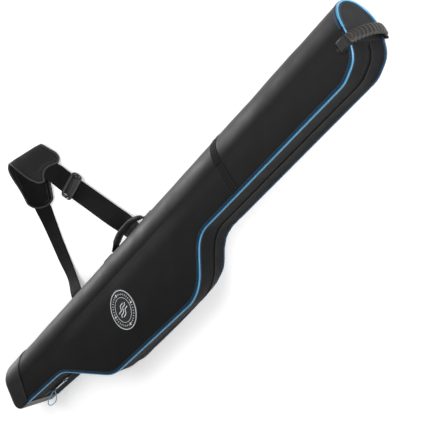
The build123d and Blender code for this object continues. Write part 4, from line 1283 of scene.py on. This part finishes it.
off = offset_line(8.0)
row = [np.concatenate([PP[i, j], PN[i, j]]) for j in range(5, nvp - 5) for i in [int(np.argmin(abs(PS[:, j] - 32.0)))]]
row = np.array(row)
lines = []
for sgn in (1, -1):
    for ln in (off, row):
        lines.append((ln[:, :3] + ln[:, 3:6] * (sgn * 2.6), ln[:, 3:6] * sgn))
stitches("shoulder_pad_thread", lines, "shoulder_strap", pitch=4.2, length=2.9, r=0.42, mat="thread")

# ------------------------------------------------------------------ slide buckle
BT = unit(np.array([535.5 - 450.5, 78.6 - 221.6, 0.0]))
BC = np.array([450.5, 221.6, 17.5]) + BT * 24
BW = np.array([0.79, 0.45, -0.42])
BW = unit(BW - BT * float(BW @ BT))
BN = np.cross(BT, BW)
if BN[2] < 0:
    BN = -BN


def on_b(t, w, n):
    return BC + BT * t + BW * w + BN * n


def ring_bar(name, pts, ra, rb, K=16, sup=0.75, closed=False, mat="buckle", nodes=()):
    """Moulded bar through (t, w, n) points with a rounded rectangular section."""
    P = np.array([on_b(*p) for p in pts])
    if closed:
        T_ = unit(np.roll(P, -1, axis=0) - np.roll(P, 1, axis=0))
    else:
        T_ = unit(np.gradient(P, axis=0))
    A_ = np.tile(BN, (len(P), 1))
    A_ = unit(A_ - T_ * np.sum(A_ * T_, axis=1)[:, None])
    B_ = np.cross(T_, A_)

    def prof(i, g):
        if g is None:
            return K
        c, s = math.cos(g), math.sin(g)
        return ra * math.copysign(abs(c) ** sup, c), rb * math.copysign(abs(s) ** sup, s)
    ob = tube(name, P, A_, B_, prof, M[mat], closed=closed)
    place(ob, "strap_buckle", nodes)
    return ob


# outer frame: two long bars over the webbing joined by the side rails that dip beside it
fr = []
hw, ht = 26.5, 14.8
corner = 6.0
for g in np.linspace(0, 2 * math.pi, 96, endpoint=False):
    c, s = math.cos(g), math.sin(g)
    w = hw * math.copysign(abs(c) ** 0.32, c)
    t = ht * math.copysign(abs(s) ** 0.42, s)
    side_ = smooth((abs(w) - 23.2) / 2.6)
    end_ = 1 - smooth((abs(t) - 3.0) / 8.0)
    n = 3.6 - 3.2 * side_ * end_
    fr.append((t, w, n))
ring_bar("buckle_frame", fr, 2.0, 3.6, closed=True, nodes=("slide_buckle",))
ring_bar("buckle_bar", [(0, w, -2.9) for w in np.linspace(-26.0, 26.0, 21)], 1.25, 3.2)
for s in (-1, 1):
    ring_bar(f"buckle_rail_{'a' if s < 0 else 'b'}", [(t, s * 26.6, n) for t, n in ((-4.5, 0.4), (-2.5, -1.4), (0, -2.6), (2.5, -1.4), (4.5, 0.4))], 2.0, 2.1)
# the webbing swells over the middle bar, between the two long ones
P = []
for t in np.linspace(-10.8, 10.8, 91):
    row = []
    for w in np.linspace(-22.0, 22.0, 15):
        e = 1 - abs(w / 22.0) ** 8
        h = 1.35 + 2.5 * math.cos(math.pi * t / 21.6) ** 2 + 0.55 * abs(math.cos(math.pi * t / 3.6))
        row.append(tuple(on_b(t, w, h * (0.55 + 0.45 * e))))
    P.append(row)
# the bulge takes the lightened webbing copy, painted highlight
hump = thick_grid("buckle_webbing", np.array(P), 1.1, M["web_painted_light"], outward=tuple(BN))
place(hump, "strap_buckle")
# ribs for the thumb on the two long bars
for s in (-1, 1):
    for k in (-1, 1):
        ring_bar(f"buckle_rib_{s + 1}{k + 1}", [(s * ht + k * 1.5, w, 5.5) for w in np.linspace(-19, 19, 15)], 0.45, 0.45, K=8)

# ------------------------------------------------------------------ tabs on the spine
def spine_patch(name, xa, xb, z0, z1, h=2.0, mat="web", nodes=(), ribs=True, m=17, soft=1.2):
    """Webbing patch that lies round the spine."""
    xs = np.linspace(xa, xb, int((xb - xa) / 0.62) + 2) if ribs else np.linspace(xa, xb, 24)
    a0 = math.asin(max(-1, min(1, (z0 - ZC) / ZC)))
    a1 = math.asin(max(-1, min(1, (z1 - ZC) / ZC)))
    rows = []
    for x in xs:
        e = min(x - xa, xb - x)
        row = []
        for t in np.linspace(0, 1, m):
            a = a0 + (a1 - a0) * t
            u = abs(2 * t - 1)
            rise = h * (1 - 0.5 * max(0.0, (u - 0.8) / 0.2) ** 2) * (1 - 0.35 * max(0, 1 - e / soft) ** 2)
            if ribs:
                rise += -0.12 + 0.12 * abs(math.cos(math.pi * x / 2.5))
            ny, nz_ = math.cos(a) / SPINE_A, math.sin(a) / ZC
            ln = math.hypot(ny, nz_)
            row.append((x, -SPINE_A + SPINE_A * math.cos(a) + ny / ln * rise, ZC + ZC * math.sin(a) + nz_ / ln * rise))
        rows.append(row)
    ob = thick_grid(name, np.array(rows), h + 0.9, M[mat], outward=(0, 1, 0))
    place(ob, "case", nodes)
    return ob


def spine_pt(x, a, h):
    ny, nz_ = math.cos(a) / SPINE_A, math.sin(a) / ZC
    ln = math.hypot(ny, nz_)
    n = np.array([0, ny / ln, nz_ / ln])
    return np.array([x, -SPINE_A + SPINE_A * math.cos(a), ZC + ZC * math.sin(a)]) + n * h, n


def spine_box(xa, xb, z0, z1, h, gap=3.0):
    a0, a1 = math.asin((z0 + gap - ZC) / ZC), math.asin((z1 - gap - ZC) / ZC)
    xa, xb = xa + gap, xb - gap
    c = [(xa, a0), (xb, a0), (xb, a1), (xa, a1)]
    out = []
    for p, q in [(c[k], c[(k + 1) % 4]) for k in range(4)] + [(c[0], c[2]), (c[1], c[3])]:
        A, B_ = [], []
        for t in np.linspace(0, 1, 14):
            a, n = spine_pt(p[0] + (q[0] - p[0]) * t, p[1] + (q[1] - p[1]) * t, h)
            A.append(a)
            B_.append(n)
        out.append((np.array(A), np.array(B_)))
    return out


spine_patch("strap_tab_low", 288, 344, 12, 38, nodes=("strap_tab_lower",))
spine_patch("strap_tab_up", 556, 610, 11, 34, nodes=("strap_tab_upper",))
spine_patch("carry_anchor_low", 486, 519, ZC - 12.6, ZC + 12.6, nodes=("carry_handle_anchor_lower",))
spine_patch("carry_anchor_up", 657, 690, ZC - 12.6, ZC + 12.6, nodes=("carry_handle_anchor_upper",))
stitches("spine_box_seams", spine_box(288, 344, 12, 38, 2.05) + spine_box(556, 610, 11, 34, 2.05)
         + spine_box(486, 519, ZC - 12.6, ZC + 12.6, 2.05) + spine_box(657, 690, ZC - 12.6, ZC + 12.6, 2.05),
         "case", pitch=3.4, length=2.4, r=0.36)


# ------------------------------------------------------------------ handles
def fillet_line(pts, step=0.5, factor=0.45):
    """Polyline with each corner rounded by an arc."""
    P = [np.array(p, float) for p in pts]
    out = [P[0]]
    for a, b, c in zip(P, P[1:], P[2:]):
        u, v = b - a, c - b
        lu, lv = np.linalg.norm(u), np.linalg.norm(v)
        u, v = u / lu, v / lv
        turn = math.acos(max(-1, min(1, float(u @ v))))
        t = factor * min(lu, lv)
        r = t / math.tan(turn / 2)
        s = b - u * t
        nrm = unit(v - u * float(u @ v))
        cen = s + nrm * r
        m = max(4, int(r * turn / step))
        for k in range(m + 1):
            g = turn * k / m
            out.append(cen - nrm * (r * math.cos(g)) + u * (r * math.sin(g)))
    out.append(P[-1])
    return np.array(out)


def ribbed_grip(name, line, lo, hi, axis, across, a_half, b_half, ribs, body, nodes, side, sup=1.0, taper=9.0, depth=0.22, curve=0.0):
    """Moulded rubber grip with raised rings along its line."""
    L = dense(line, 0.5)
    sel = (L[:, axis] >= lo) & (L[:, axis] <= hi)
    L = L[sel]
    S = np.concatenate([[0], np.cumsum(np.linalg.norm(np.diff(L, axis=0), axis=1))])
    T_ = unit(np.gradient(L, axis=0))
    A_ = np.tile(np.array(across, float), (len(L), 1))
    A_ = unit(A_ - T_ * np.sum(A_ * T_, axis=1)[:, None])
    B_ = np.cross(T_, A_)
    tot = S[-1]
    K = 30
    V = []
    for i in range(len(L)):
        e = min(S[i], tot - S[i])
        end = 0.62 + 0.38 * math.sqrt(max(0.0, 1 - max(0.0, 1 - e / taper) ** 2))
        for k in range(K):
            g = 2 * math.pi * k / K
            c, s = math.cos(g), math.sin(g)
            c_, s_ = math.copysign(abs(c) ** sup, c), math.copysign(abs(s) ** sup, s)
            ph = (S[i] + curve * c_ * c_) / tot * ribs
            rib = abs(math.sin(math.pi * ph)) ** 0.8
            k_ = end * (1 - depth * (1 - rib) * float(smooth((e - 3.0) / 4.0)))
            V.append(L[i] + A_[i] * (a_half * end * (1 - 0.35 * depth * (1 - rib)) * c_) + B_[i] * (b_half * k_ * s_))
    F = grid_faces(len(L), K, 0, wrap_v=True)
    F.append(tuple(range(K)))
    F.append(tuple((len(L) - 1) * K + K - 1 - k for k in range(K)))
    ob = add_mesh(name, arr(np.array(V)), F, M["grip"], sharp=65)
    fix_normals(ob)
    place(ob, body, nodes)
    return ob


CH = fillet_line([(521, 3.2, ZC), (541, 15.5, ZC), (566, 22.6, ZC), (610, 22.6, ZC), (635, 15.5, ZC), (655, 3.2, ZC)])
ribbed_grip("carry_grip", CH, 535.3, 640.7, 0, (0, 0, 1), 10.3, 5.4, 26, "carry_handle", ("carry_handle_grip",), 1, depth=0.26)
GH = fillet_line([(1345.5, -80, 98.6), (1353.5, -80, 90.5), (1362.5, -80, 76), (1368.5, -80, 58), (1368.5, -80, 34), (1362.5, -80, 20),
                  (1351.5, -80, 11)])
ribbed_grip("grab_grip", GH, 15.3, 97.6, 2, (0, 1, 0), 10.9, 4.4, 12, "grab_handle", ("grab_handle_grip",), 1, sup=0.72,
            taper=4.0, depth=0.42, curve=3.4)

# near end of the grab handle: layered webbing over the edge of the case, sewn flat with a pointed end
def edge_band(name, pts, width, thick, body, mat="web", nodes=(), bl=None, y0=-80.0):
    L = dense(fillet_line(pts, 0.4), 0.62)
    n = len(L)
    T_ = unit(np.gradient(L, axis=0))
    A_ = np.tile([0, 1.0, 0], (n, 1))
    B_ = np.cross(T_, A_)
    V = []
    S = np.concatenate([[0], np.cumsum(np.linalg.norm(np.diff(L, axis=0), axis=1))])
    for i in range(n):
        rr = 0.14 * abs(math.cos(math.pi * S[i] / 2.5))
        w2, h = width / 2 - thick * 0.3, thick / 2
        tip = 1.0
        loop = [(u * w2, h * (1 - 0.4 * max(0.0, (abs(u) - 0.8) / 0.2) ** 2) - 0.14 + rr) for u in np.linspace(-1, 1, 13)]
        loop += [(w2 + h * 0.45, 0.3 * h), (w2 + h * 0.45, -0.3 * h)]
        loop += [(u * w2, -h * (1 - 0.4 * max(0.0, (abs(u) - 0.8) / 0.2) ** 2)) for u in np.linspace(1, -1, 13)]
        loop += [(-w2 - h * 0.45, -0.3 * h), (-w2 - h * 0.45, 0.3 * h)]
        for a, b in loop:
            V.append(L[i] + A_[i] * a + B_[i] * b)
    K = len(loop)
    F = grid_faces(n, K, 0, wrap_v=True)
    F.append(tuple(range(K)))
    F.append(tuple((n - 1) * K + K - 1 - k for k in range(K)))
    ob = add_mesh(name, arr(np.array(V)), F, M[mat], sharp=55)
    fix_normals(ob)
    place(ob, body, nodes, bl)
    return ob


GB = ("case", "grab_handle", W(1346, -80, 91), W(1355, -80, 84))
edge_band("grab_band_near", [(1317, -80, 94.6), (1341, -80, 95.0), (1348.5, -80, 92.0), (1353.0, -80, 86.0)], 21, 2.2,
          "case", "web", (), GB)
# the two upper layers take the lightened webbing copy, painted highlight
edge_band("grab_band_near_mid", [(1321, -80, 97.0), (1338, -80, 97.4), (1346.0, -80, 95.6)], 21.5, 2.2, "case", "web_painted_light")
edge_band("grab_band_near_top", [(1325, -80, 99.2), (1336, -80, 99.7), (1343.5, -80, 98.4)], 20.5, 1.8, "case", "web_painted_light")
P = []
for x in np.linspace(1312.5, 1336, 22):
    hw = min(10.0, (x - 1312.5) / 8.0 * 10.0) * 0.985 + 0.15
    P.append([(x, -80 + hw * u, 93.9 + 0.3 * (1 - abs(u) ** 6)) for u in np.linspace(-1, 1, 11)])
pt = thick_grid("grab_pointed_end", np.array(P), 3.0, M["bind"], outward=(0, 0, 1))
place(pt, "case", ("grab_handle_anchor_near",))
edge_band("grab_band_far", [(1349.2, -79.5, 3.0), (1349.4, -79.5, 8.0), (1352.5, -79.5, 12.0), (1357.5, -79.5, 16.8)], 18, 2.0, "case", "web", (),
          ("case", "grab_handle", W(1350, -80, 9), W(1355, -80, 15)))

# ------------------------------------------------------------------ badge
BX_, BY_ = 517.0, -126.0


def z_panel(x, y):
    return THICK + crown(x, y, y_front(x))


def on_disc(pts, h):
    """Points on the badge: (dx, dy) about its middle, h over the panel."""
    return [(BX_ + p[0], BY_ + p[1], z_panel(BX_ + p[0], BY_ + p[1]) + h) for p in pts]


P = []
for r in np.concatenate([np.linspace(0.5, 41.0, 16), [42.2, 42.8]]):
    hh = 0.75 if r < 42 else (0.6 if r < 42.5 else 0.15)
    P.append(on_disc([(r * math.cos(g), r * math.sin(g)) for g in np.linspace(0, 2 * math.pi, 97)], hh))
P = np.array(P)
nu, nv = P.shape[:2]
nv -= 1
V = P[:, :-1].reshape(-1, 3)
V = np.concatenate([V, V - np.array([0, 0, 0.7])])
n_ = nu * nv
F = grid_faces(nu, nv, 0, wrap_v=True) + grid_faces(nu, nv, n_, wrap_v=True, flip=True)
for k in range(nv):
    a, b = (nu - 1) * nv + k, (nu - 1) * nv + (k + 1) % nv
    F.append((b, a, a + n_, b + n_))
F.append(tuple(range(nv)))
F.append(tuple(n_ + nv - 1 - k for k in range(nv)))
disc = add_mesh("badge_disc", arr(V), F, M["badge"], sharp=60)
fix_normals(disc)
place(disc, "case_panel", ("badge",))


def flat_ring(r0, r1, h0, h1, g0=0.0, g1=2 * math.pi, n=120):
    """Raised ring or arc on the badge as vertices and faces."""
    closed = abs(g1 - g0 - 2 * math.pi) < 1e-6
    gs = np.linspace(g0, g1, n, endpoint=not closed)
    V = []
    for g in gs:
        for r, h in ((r0, h0), (r0 + 0.12, h1), (r1 - 0.12, h1), (r1, h0)):
            V += on_disc([(r * math.cos(g), r * math.sin(g))], h)
    F = grid_faces(len(gs), 4, 0, wrap_v=True, wrap_u=closed)
    if not closed:
        F.append((0, 1, 2, 3))
        m = (len(gs) - 1) * 4
        F.append((m + 3, m + 2, m + 1, m))
    return V, F


def merge(parts):
    V, F = [], []
    for v, f in parts:
        b = len(V)
        V += list(v)
        F += [tuple(i + b for i in q) for q in f]
    return V, F


def stroke(pts, w, h0=0.7, h1=1.15):
    """Raised line of width w through points on the badge."""
    Q = np.array(pts, float)
    T_ = unit(np.gradient(Q, axis=0))
    Nn = np.stack([-T_[:, 1], T_[:, 0]], 1)
    V = []
    for q, n in zip(Q, Nn):
        for s, h in ((-w / 2, h0), (-w / 2 + 0.12, h1), (w / 2 - 0.12, h1), (w / 2, h0)):
            V += on_disc([tuple(q + n * s)], h)
    F = grid_faces(len(Q), 4, 0, wrap_v=True)
    F.append((0, 1, 2, 3))
    m = (len(Q) - 1) * 4
    F.append((m + 3, m + 2, m + 1, m))
    return V, F


parts = [flat_ring(39.6, 41.2, 0.7, 1.2), flat_ring(25.4, 26.3, 0.7, 1.15)]
# short marks between the rings, spaced evenly
for k in range(36):
    g = 2 * math.pi * k / 36
    if k % 9 == 0:
        parts.append(flat_ring(30.0, 35.5, 0.7, 1.15, g - 0.055, g + 0.055, 5))
    else:
        parts.append(flat_ring(31.2, 34.4, 0.7, 1.15, g - 0.020, g + 0.020, 3))
# three plain waves in the middle
ex, ey = np.array([0.80, 0.60]), np.array([-0.60, 0.80])
for c_, half_ in ((-7.5, 14.0), (0.0, 17.5), (7.5, 14.0)):
    pts = []
    for t in np.linspace(-1, 1, 50):
        a, b = t * half_, c_ + 2.0 * math.sin(t * half_ / 17.5 * math.pi * 2.0)
        pts.append(tuple(ex * a + ey * b))
    parts.append(stroke(pts, 2.1))
V, F = merge(parts)
mark = add_mesh("badge_marking", arr(np.array(V)), F, M["mark"], sharp=50)
fix_normals(mark)
place(mark, "case_panel")

# ------------------------------------------------------------------ seams of the shell
def panel_line(Q, d, h=0.1):
    N_ = normals2(Q)
    E_ = Q - N_ * d
    P, Nn = [], []
    for (x, y), q in zip(E_, Q):
        P.append((x, y, THICK + crown(x, y, q[1]) + h))
        Nn.append((0, 0, 1))
    return np.array(P), np.array(Nn)


def gusset_line(Q, z, h=0.0):
    N_ = normals2(Q)
    P = np.column_stack([Q + N_ * (h - np.array([tuck(q[0], z) for q in Q]))[:, None], np.full(len(Q), z)])
    return P, np.column_stack([N_, np.zeros(len(Q))])


FQ_rod = end_at(cut(FRONT, SPLIT, 1346), -64.0)
stitches("panel_thread_reel", [panel_line(cut(GQ_reel, 70, SPLIT), 6.4, 0.35)], "case_panel", bl=BLEND_REEL, pitch=5.2, length=3.5, mat="thread_dark")
stitches("panel_thread_rod", [panel_line(FQ_rod, 6.4, 0.35)], "case_panel", bl=BLEND_ROD, pitch=5.2, length=3.5, mat="thread_dark")
ZS = GQ_all[GQ_all[:, 0] > 262]
stitches("zip_thread_reel", [gusset_line(cut(GQ_reel, 262, SPLIT), ZC + 7.5, -0.75)], "case_panel", bl=BLEND_REEL, pitch=4.6, mat="thread_dark")
stitches("zip_thread_rod", [gusset_line(GQ_rod, ZC + 7.5, -0.75)], "case_panel", bl=BLEND_ROD, pitch=4.6, mat="thread_dark")
stitches("zip_thread_far", [gusset_line(ZS, ZC - 7.5, -0.75)], "case", pitch=4.6, mat="thread_dark")

# thread beside the wrap band, both edges, over the near panel
lines = []
for x in (941.0, 958.0):
    yo = y_front(x)
    ys_ = np.linspace(HINGE_Y - 2, yo + 8, 40)
    lines.append((np.array([(x, y, THICK + crown(x, y, yo) + 0.85) for y in ys_]), np.tile([0, 0, 1.0], (40, 1))))
stitches("band_thread_near", lines, "case_panel", pitch=4.2, mat="thread_dark")
lines = []
for x in (941.0, 958.0):
    A_, B_ = [], []
    for a in np.linspace(1.45, -1.40, 50):
        p, n = spine_pt(x, a, 0.9)
        A_.append(p)
        B_.append(n)
    lines.append((np.array(A_), np.array(B_)))
stitches("band_thread_spine", lines, "case", pitch=4.2, mat="thread_dark")


# ------------------------------------------------------------------ flap's inside
def flap_layer(name, x0, x1, d_edge, z_top_off, thick, mat, body, bl, nodes=()):
    Q = cut(FRONT, x0, x1)
    N_ = normals2(Q)
    E_ = Q - N_ * d_edge
    P = np.zeros((len(Q), 18, 3))
    for i, (q, e) in enumerate(zip(Q, E_)):
        for j, t in enumerate(np.linspace(0, 1, 18)):
            x = q[0] + (e[0] - q[0]) * t
            y = HINGE_Y - 1.0 + (e[1] - HINGE_Y + 1.0) * t
            P[i, j] = (x, y, THICK + min(crown(x, y, q[1]), 0.2 if mat == "foam" else 0.0) - z_top_off)
    ob = thick_grid(name, P, thick, M[mat], outward=(0, 0, 1))
    place(ob, body, nodes, bl)
    return ob


flap_layer("flap_foam_reel", FLAP0, SPLIT, 6.0, 2.4, 3.4, "foam", "case_panel", BLEND_REEL, ("padding_flap",))
flap_layer("flap_foam_rod", SPLIT, FLAP1, 6.0, 2.4, 3.4, "foam", "case_panel", BLEND_ROD)
flap_layer("flap_lining_reel", FLAP0, SPLIT, 7.0, 5.9, 0.9, "lining", "case_panel", BLEND_REEL, ("lining_flap",))
flap_layer("flap_lining_rod", SPLIT, FLAP1, 7.0, 5.9, 0.9, "lining", "case_panel", BLEND_ROD)


def flap_rim(name, x0, x1, body, bl):
    """Padded inner wall of the flap's part of the gusset."""
    Q = cut(FRONT, x0, x1)
    N_ = normals2(Q)
    P = np.zeros((len(Q), 8, 3))
    for i, (q, n) in enumerate(zip(Q, N_)):
        for j, t in enumerate(np.linspace(0, 1, 8)):
            z = ZC + 7 + (84.2 - ZC - 7) * t
            d = 6.6 + 0.4 * math.sin(math.pi * t) + 1.5 * t ** 3 + tuck(q[0], z)
            P[i, j] = (q[0] - n[0] * d, q[1] - n[1] * d, z)
    ob = thick_grid(name, P, 4.2, M["lining"], outward=(0, 1, 0))
    place(ob, body, (), bl)


flap_rim("flap_inner_wall_reel", FLAP0, SPLIT, "case_panel", BLEND_REEL)
flap_rim("flap_inner_wall_rod", SPLIT, FLAP1, "case_panel", BLEND_ROD)

# ------------------------------------------------------------------ fixed side's inside, drawn in like the shell
FINE_N = normals2(FRONT_FINE)


def drawn_in(node, key, name, soft=0.0):
    """New mesh for an inner layer of the fixed half that follows the drawn-in far side."""
    import bmesh
    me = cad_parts[node].data.copy()
    ob = bpy.data.objects.new(name, me)
    bpy.context.scene.collection.objects.link(ob)
    bm = bmesh.new()
    bm.from_mesh(me)
    bmesh.ops.remove_doubles(bm, verts=bm.verts, dist=1e-6)
    long_ = [e for e in bm.edges if e.calc_length() > 0.09]
    for _ in range(3):
        if not long_:
            break
        bmesh.ops.subdivide_edges(bm, edges=long_, cuts=1, use_grid_fill=False)
        bmesh.ops.triangulate(bm, faces=[f for f in bm.faces if len(f.verts) > 4])
        long_ = [e for e in bm.edges if e.calc_length() > 0.09]
    for v in bm.verts:
        x, y, z = v.co.x * 1000 + X0, v.co.y * 1000 + Y0, v.co.z * 1000
        if y > -75:
            continue
        k = int(np.argmin((FRONT_FINE[:, 0] - x) ** 2 + (FRONT_FINE[:, 1] - y) ** 2))
        d = math.hypot(FRONT_FINE[k, 0] - x, FRONT_FINE[k, 1] - y)
        t = tuck(FRONT_FINE[k, 0], z)
        t = (t + 2.5 * min(1.0, t / 5.0)) * float(smooth((78 - d) / 60.0))
        v.co.x -= FINE_N[k, 0] * t / 1000
        v.co.y -= FINE_N[k, 1] * t / 1000
    bm.to_mesh(me)
    bm.free()
    me.materials.clear()
    me.materials.append(M[key])
    for p in me.polygons:
        p.material_index = 0
    place(ob, "case", (node,))
    return ob


drawn_in("padding_fixed", "foam", "padding_fixed_soft")
drawn_in("lining_fixed", "lining", "lining_fixed_soft")

# soft pad the reel lies on
P = []
for x in np.linspace(432, 648, 40):
    row = []
    e = min(x - 432, 648 - x)
    y0_ = max(-196.0, y_far(x) + 13.0)
    for t in np.linspace(0, 1, 18):
        y = y0_ + (-133.0 - y0_) * t
        f = min(e, abs(y - y0_), abs(-133.0 - y))
        row.append((x, y, 8.0 + 5.2 * math.sqrt(max(0.0, 1 - (1 - min(1.0, f / 7.0)) ** 2)) + 0.6 * smooth(f / 25)))
    P.append(row)
rp = thick_grid("reel_pad_soft", np.array(P), 1.0, M["foam"], outward=(0, 0, 1))
for v in rp.data.vertices:
    if v.co.z < 0.0079:
        v.co.z = 0.0072
place(rp, "case", ("reel_pad",))

# ------------------------------------------------------------------ base seam
lines = []
for dx in (5.0,):
    A_, B_ = [], []
    for t in np.linspace(0.02, 0.96, 40):
        y = 0.0 + t * -106.0
        if y > -SPINE_A:
            a = math.acos(min(1, (y + SPINE_A) / SPINE_A))
            z = ZC + ZC * math.sin(a)
            ny, nz_ = math.cos(a) / SPINE_A, math.sin(a) / ZC
            ln = math.hypot(ny, nz_)
            n = (0, ny / ln, nz_ / ln)
        else:
            z, n = THICK, (0, 0, 1)
        x = 84.4 + 0.25 * y - dx
        A_.append(np.array((x, y, z)) + np.array(n) * 1.7)
        B_.append(n)
    lines.append((np.array(A_), np.array(B_)))
stitches("base_thread", lines, "case", pitch=4.6)

# ------------------------------------------------------------------ remaining CAD pieces
NODE_MAT = {
    "padding_fixed": "foam", "lining_fixed": "lining", "base_board": "board", "base_board_pocket": "lining",
    "rod_strap_lower": "web", "rod_strap_upper": "web", "reel_pad": "foam", "padding_flap": "foam", "lining_flap": "lining",
    "zip_slider": "metal", "zip_puller": "metal", "cord_knot": "knot", "zip_end_stops": "coil",
}
for name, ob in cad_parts.items():
    key = NODE_MAT.get(name)
    if key is None:
        for word, k in (("webbing", "web"), ("anchor", "web"), ("tongue", "web"), ("tab", "web"), ("grip", "grip"),
                        ("stop", "coil"), ("coil", "coil"), ("tape", "tape"), ("piping", "pipe"), ("gusset", "gusset"),
                        ("panel", "shell"), ("cover", "shell"), ("band", "gusset"), ("base", "base"), ("cap", "endcap"),
                        ("badge", "badge"), ("strap", "web"), ("arm", "web"), ("pad", "pad"), ("buckle", "buckle"),
                        ("lining", "lining"), ("foam", "foam"), ("board", "board")):
            if word in name:
                key = k
                break
    if key is None:
        key = "web"
    me = ob.data
    if len(me.materials):
        for i in range(len(me.materials)):
            me.materials[i] = M[key]
    else:
        me.materials.append(M[key])
    for p in me.polygons:
        p.material_index = 0

# ------------------------------------------------------------------ floor and light
me = bpy.data.meshes.new("floor")
me.from_pydata([(-8, -8, 0), (8, -8, 0), (8, 8, 0), (-8, 8, 0)], [], [(0, 1, 2, 3)])
floor = bpy.data.objects.new("floor", me)
bpy.context.scene.collection.objects.link(floor)
floor.location.z = -0.0006
fm = bpy.data.materials.new("floor")
fm.use_nodes = True
fb = fm.node_tree.nodes["Principled BSDF"]
fb.inputs["Base Color"].default_value = (0.90, 0.90, 0.90, 1)
fb.inputs["Roughness"].default_value = 0.75
fb.inputs["Emission Color"].default_value = (1, 1, 1, 1)
fb.inputs["Emission Strength"].default_value = 0.34
me.materials.append(fm)


def area(name, loc, target, size, power, color=(1, 1, 1), size_y=None):
    d = bpy.data.lights.new(name, 'AREA')
    d.energy = power
    d.color = color
    d.size = size
    if size_y:
        d.shape = 'RECTANGLE'
        d.size_y = size_y
    o = bpy.data.objects.new(name, d)
    bpy.context.scene.collection.objects.link(o)
    o.location = loc
    dr = Vector(target) - Vector(loc)
    o.rotation_euler = dr.to_track_quat('-Z', 'Y').to_euler()
    return o


area("key", (2.1, -1.7, 2.5), (0.15, 0, 0), 1.6, 60)
area("end", (1.75, -0.55, 0.55), (0.62, -0.08, 0.06), 0.5, 12)
area("over", (0.8, 0.6, 3.2), (0, 0, 0), 2.4, 62)
area("rim", (-2.5, 2.8, 0.7), (0, 0.1, 0.05), 1.5, 75, size_y=0.7)
world = bpy.data.worlds.new("world")
bpy.context.scene.world = world
world.use_nodes = True
bg = world.node_tree.nodes["Background"]
bg.inputs[0].default_value = (1, 1, 1, 1)
bg.inputs[1].default_value = 0.15
bpy.context.scene.view_settings.view_transform = 'Standard'
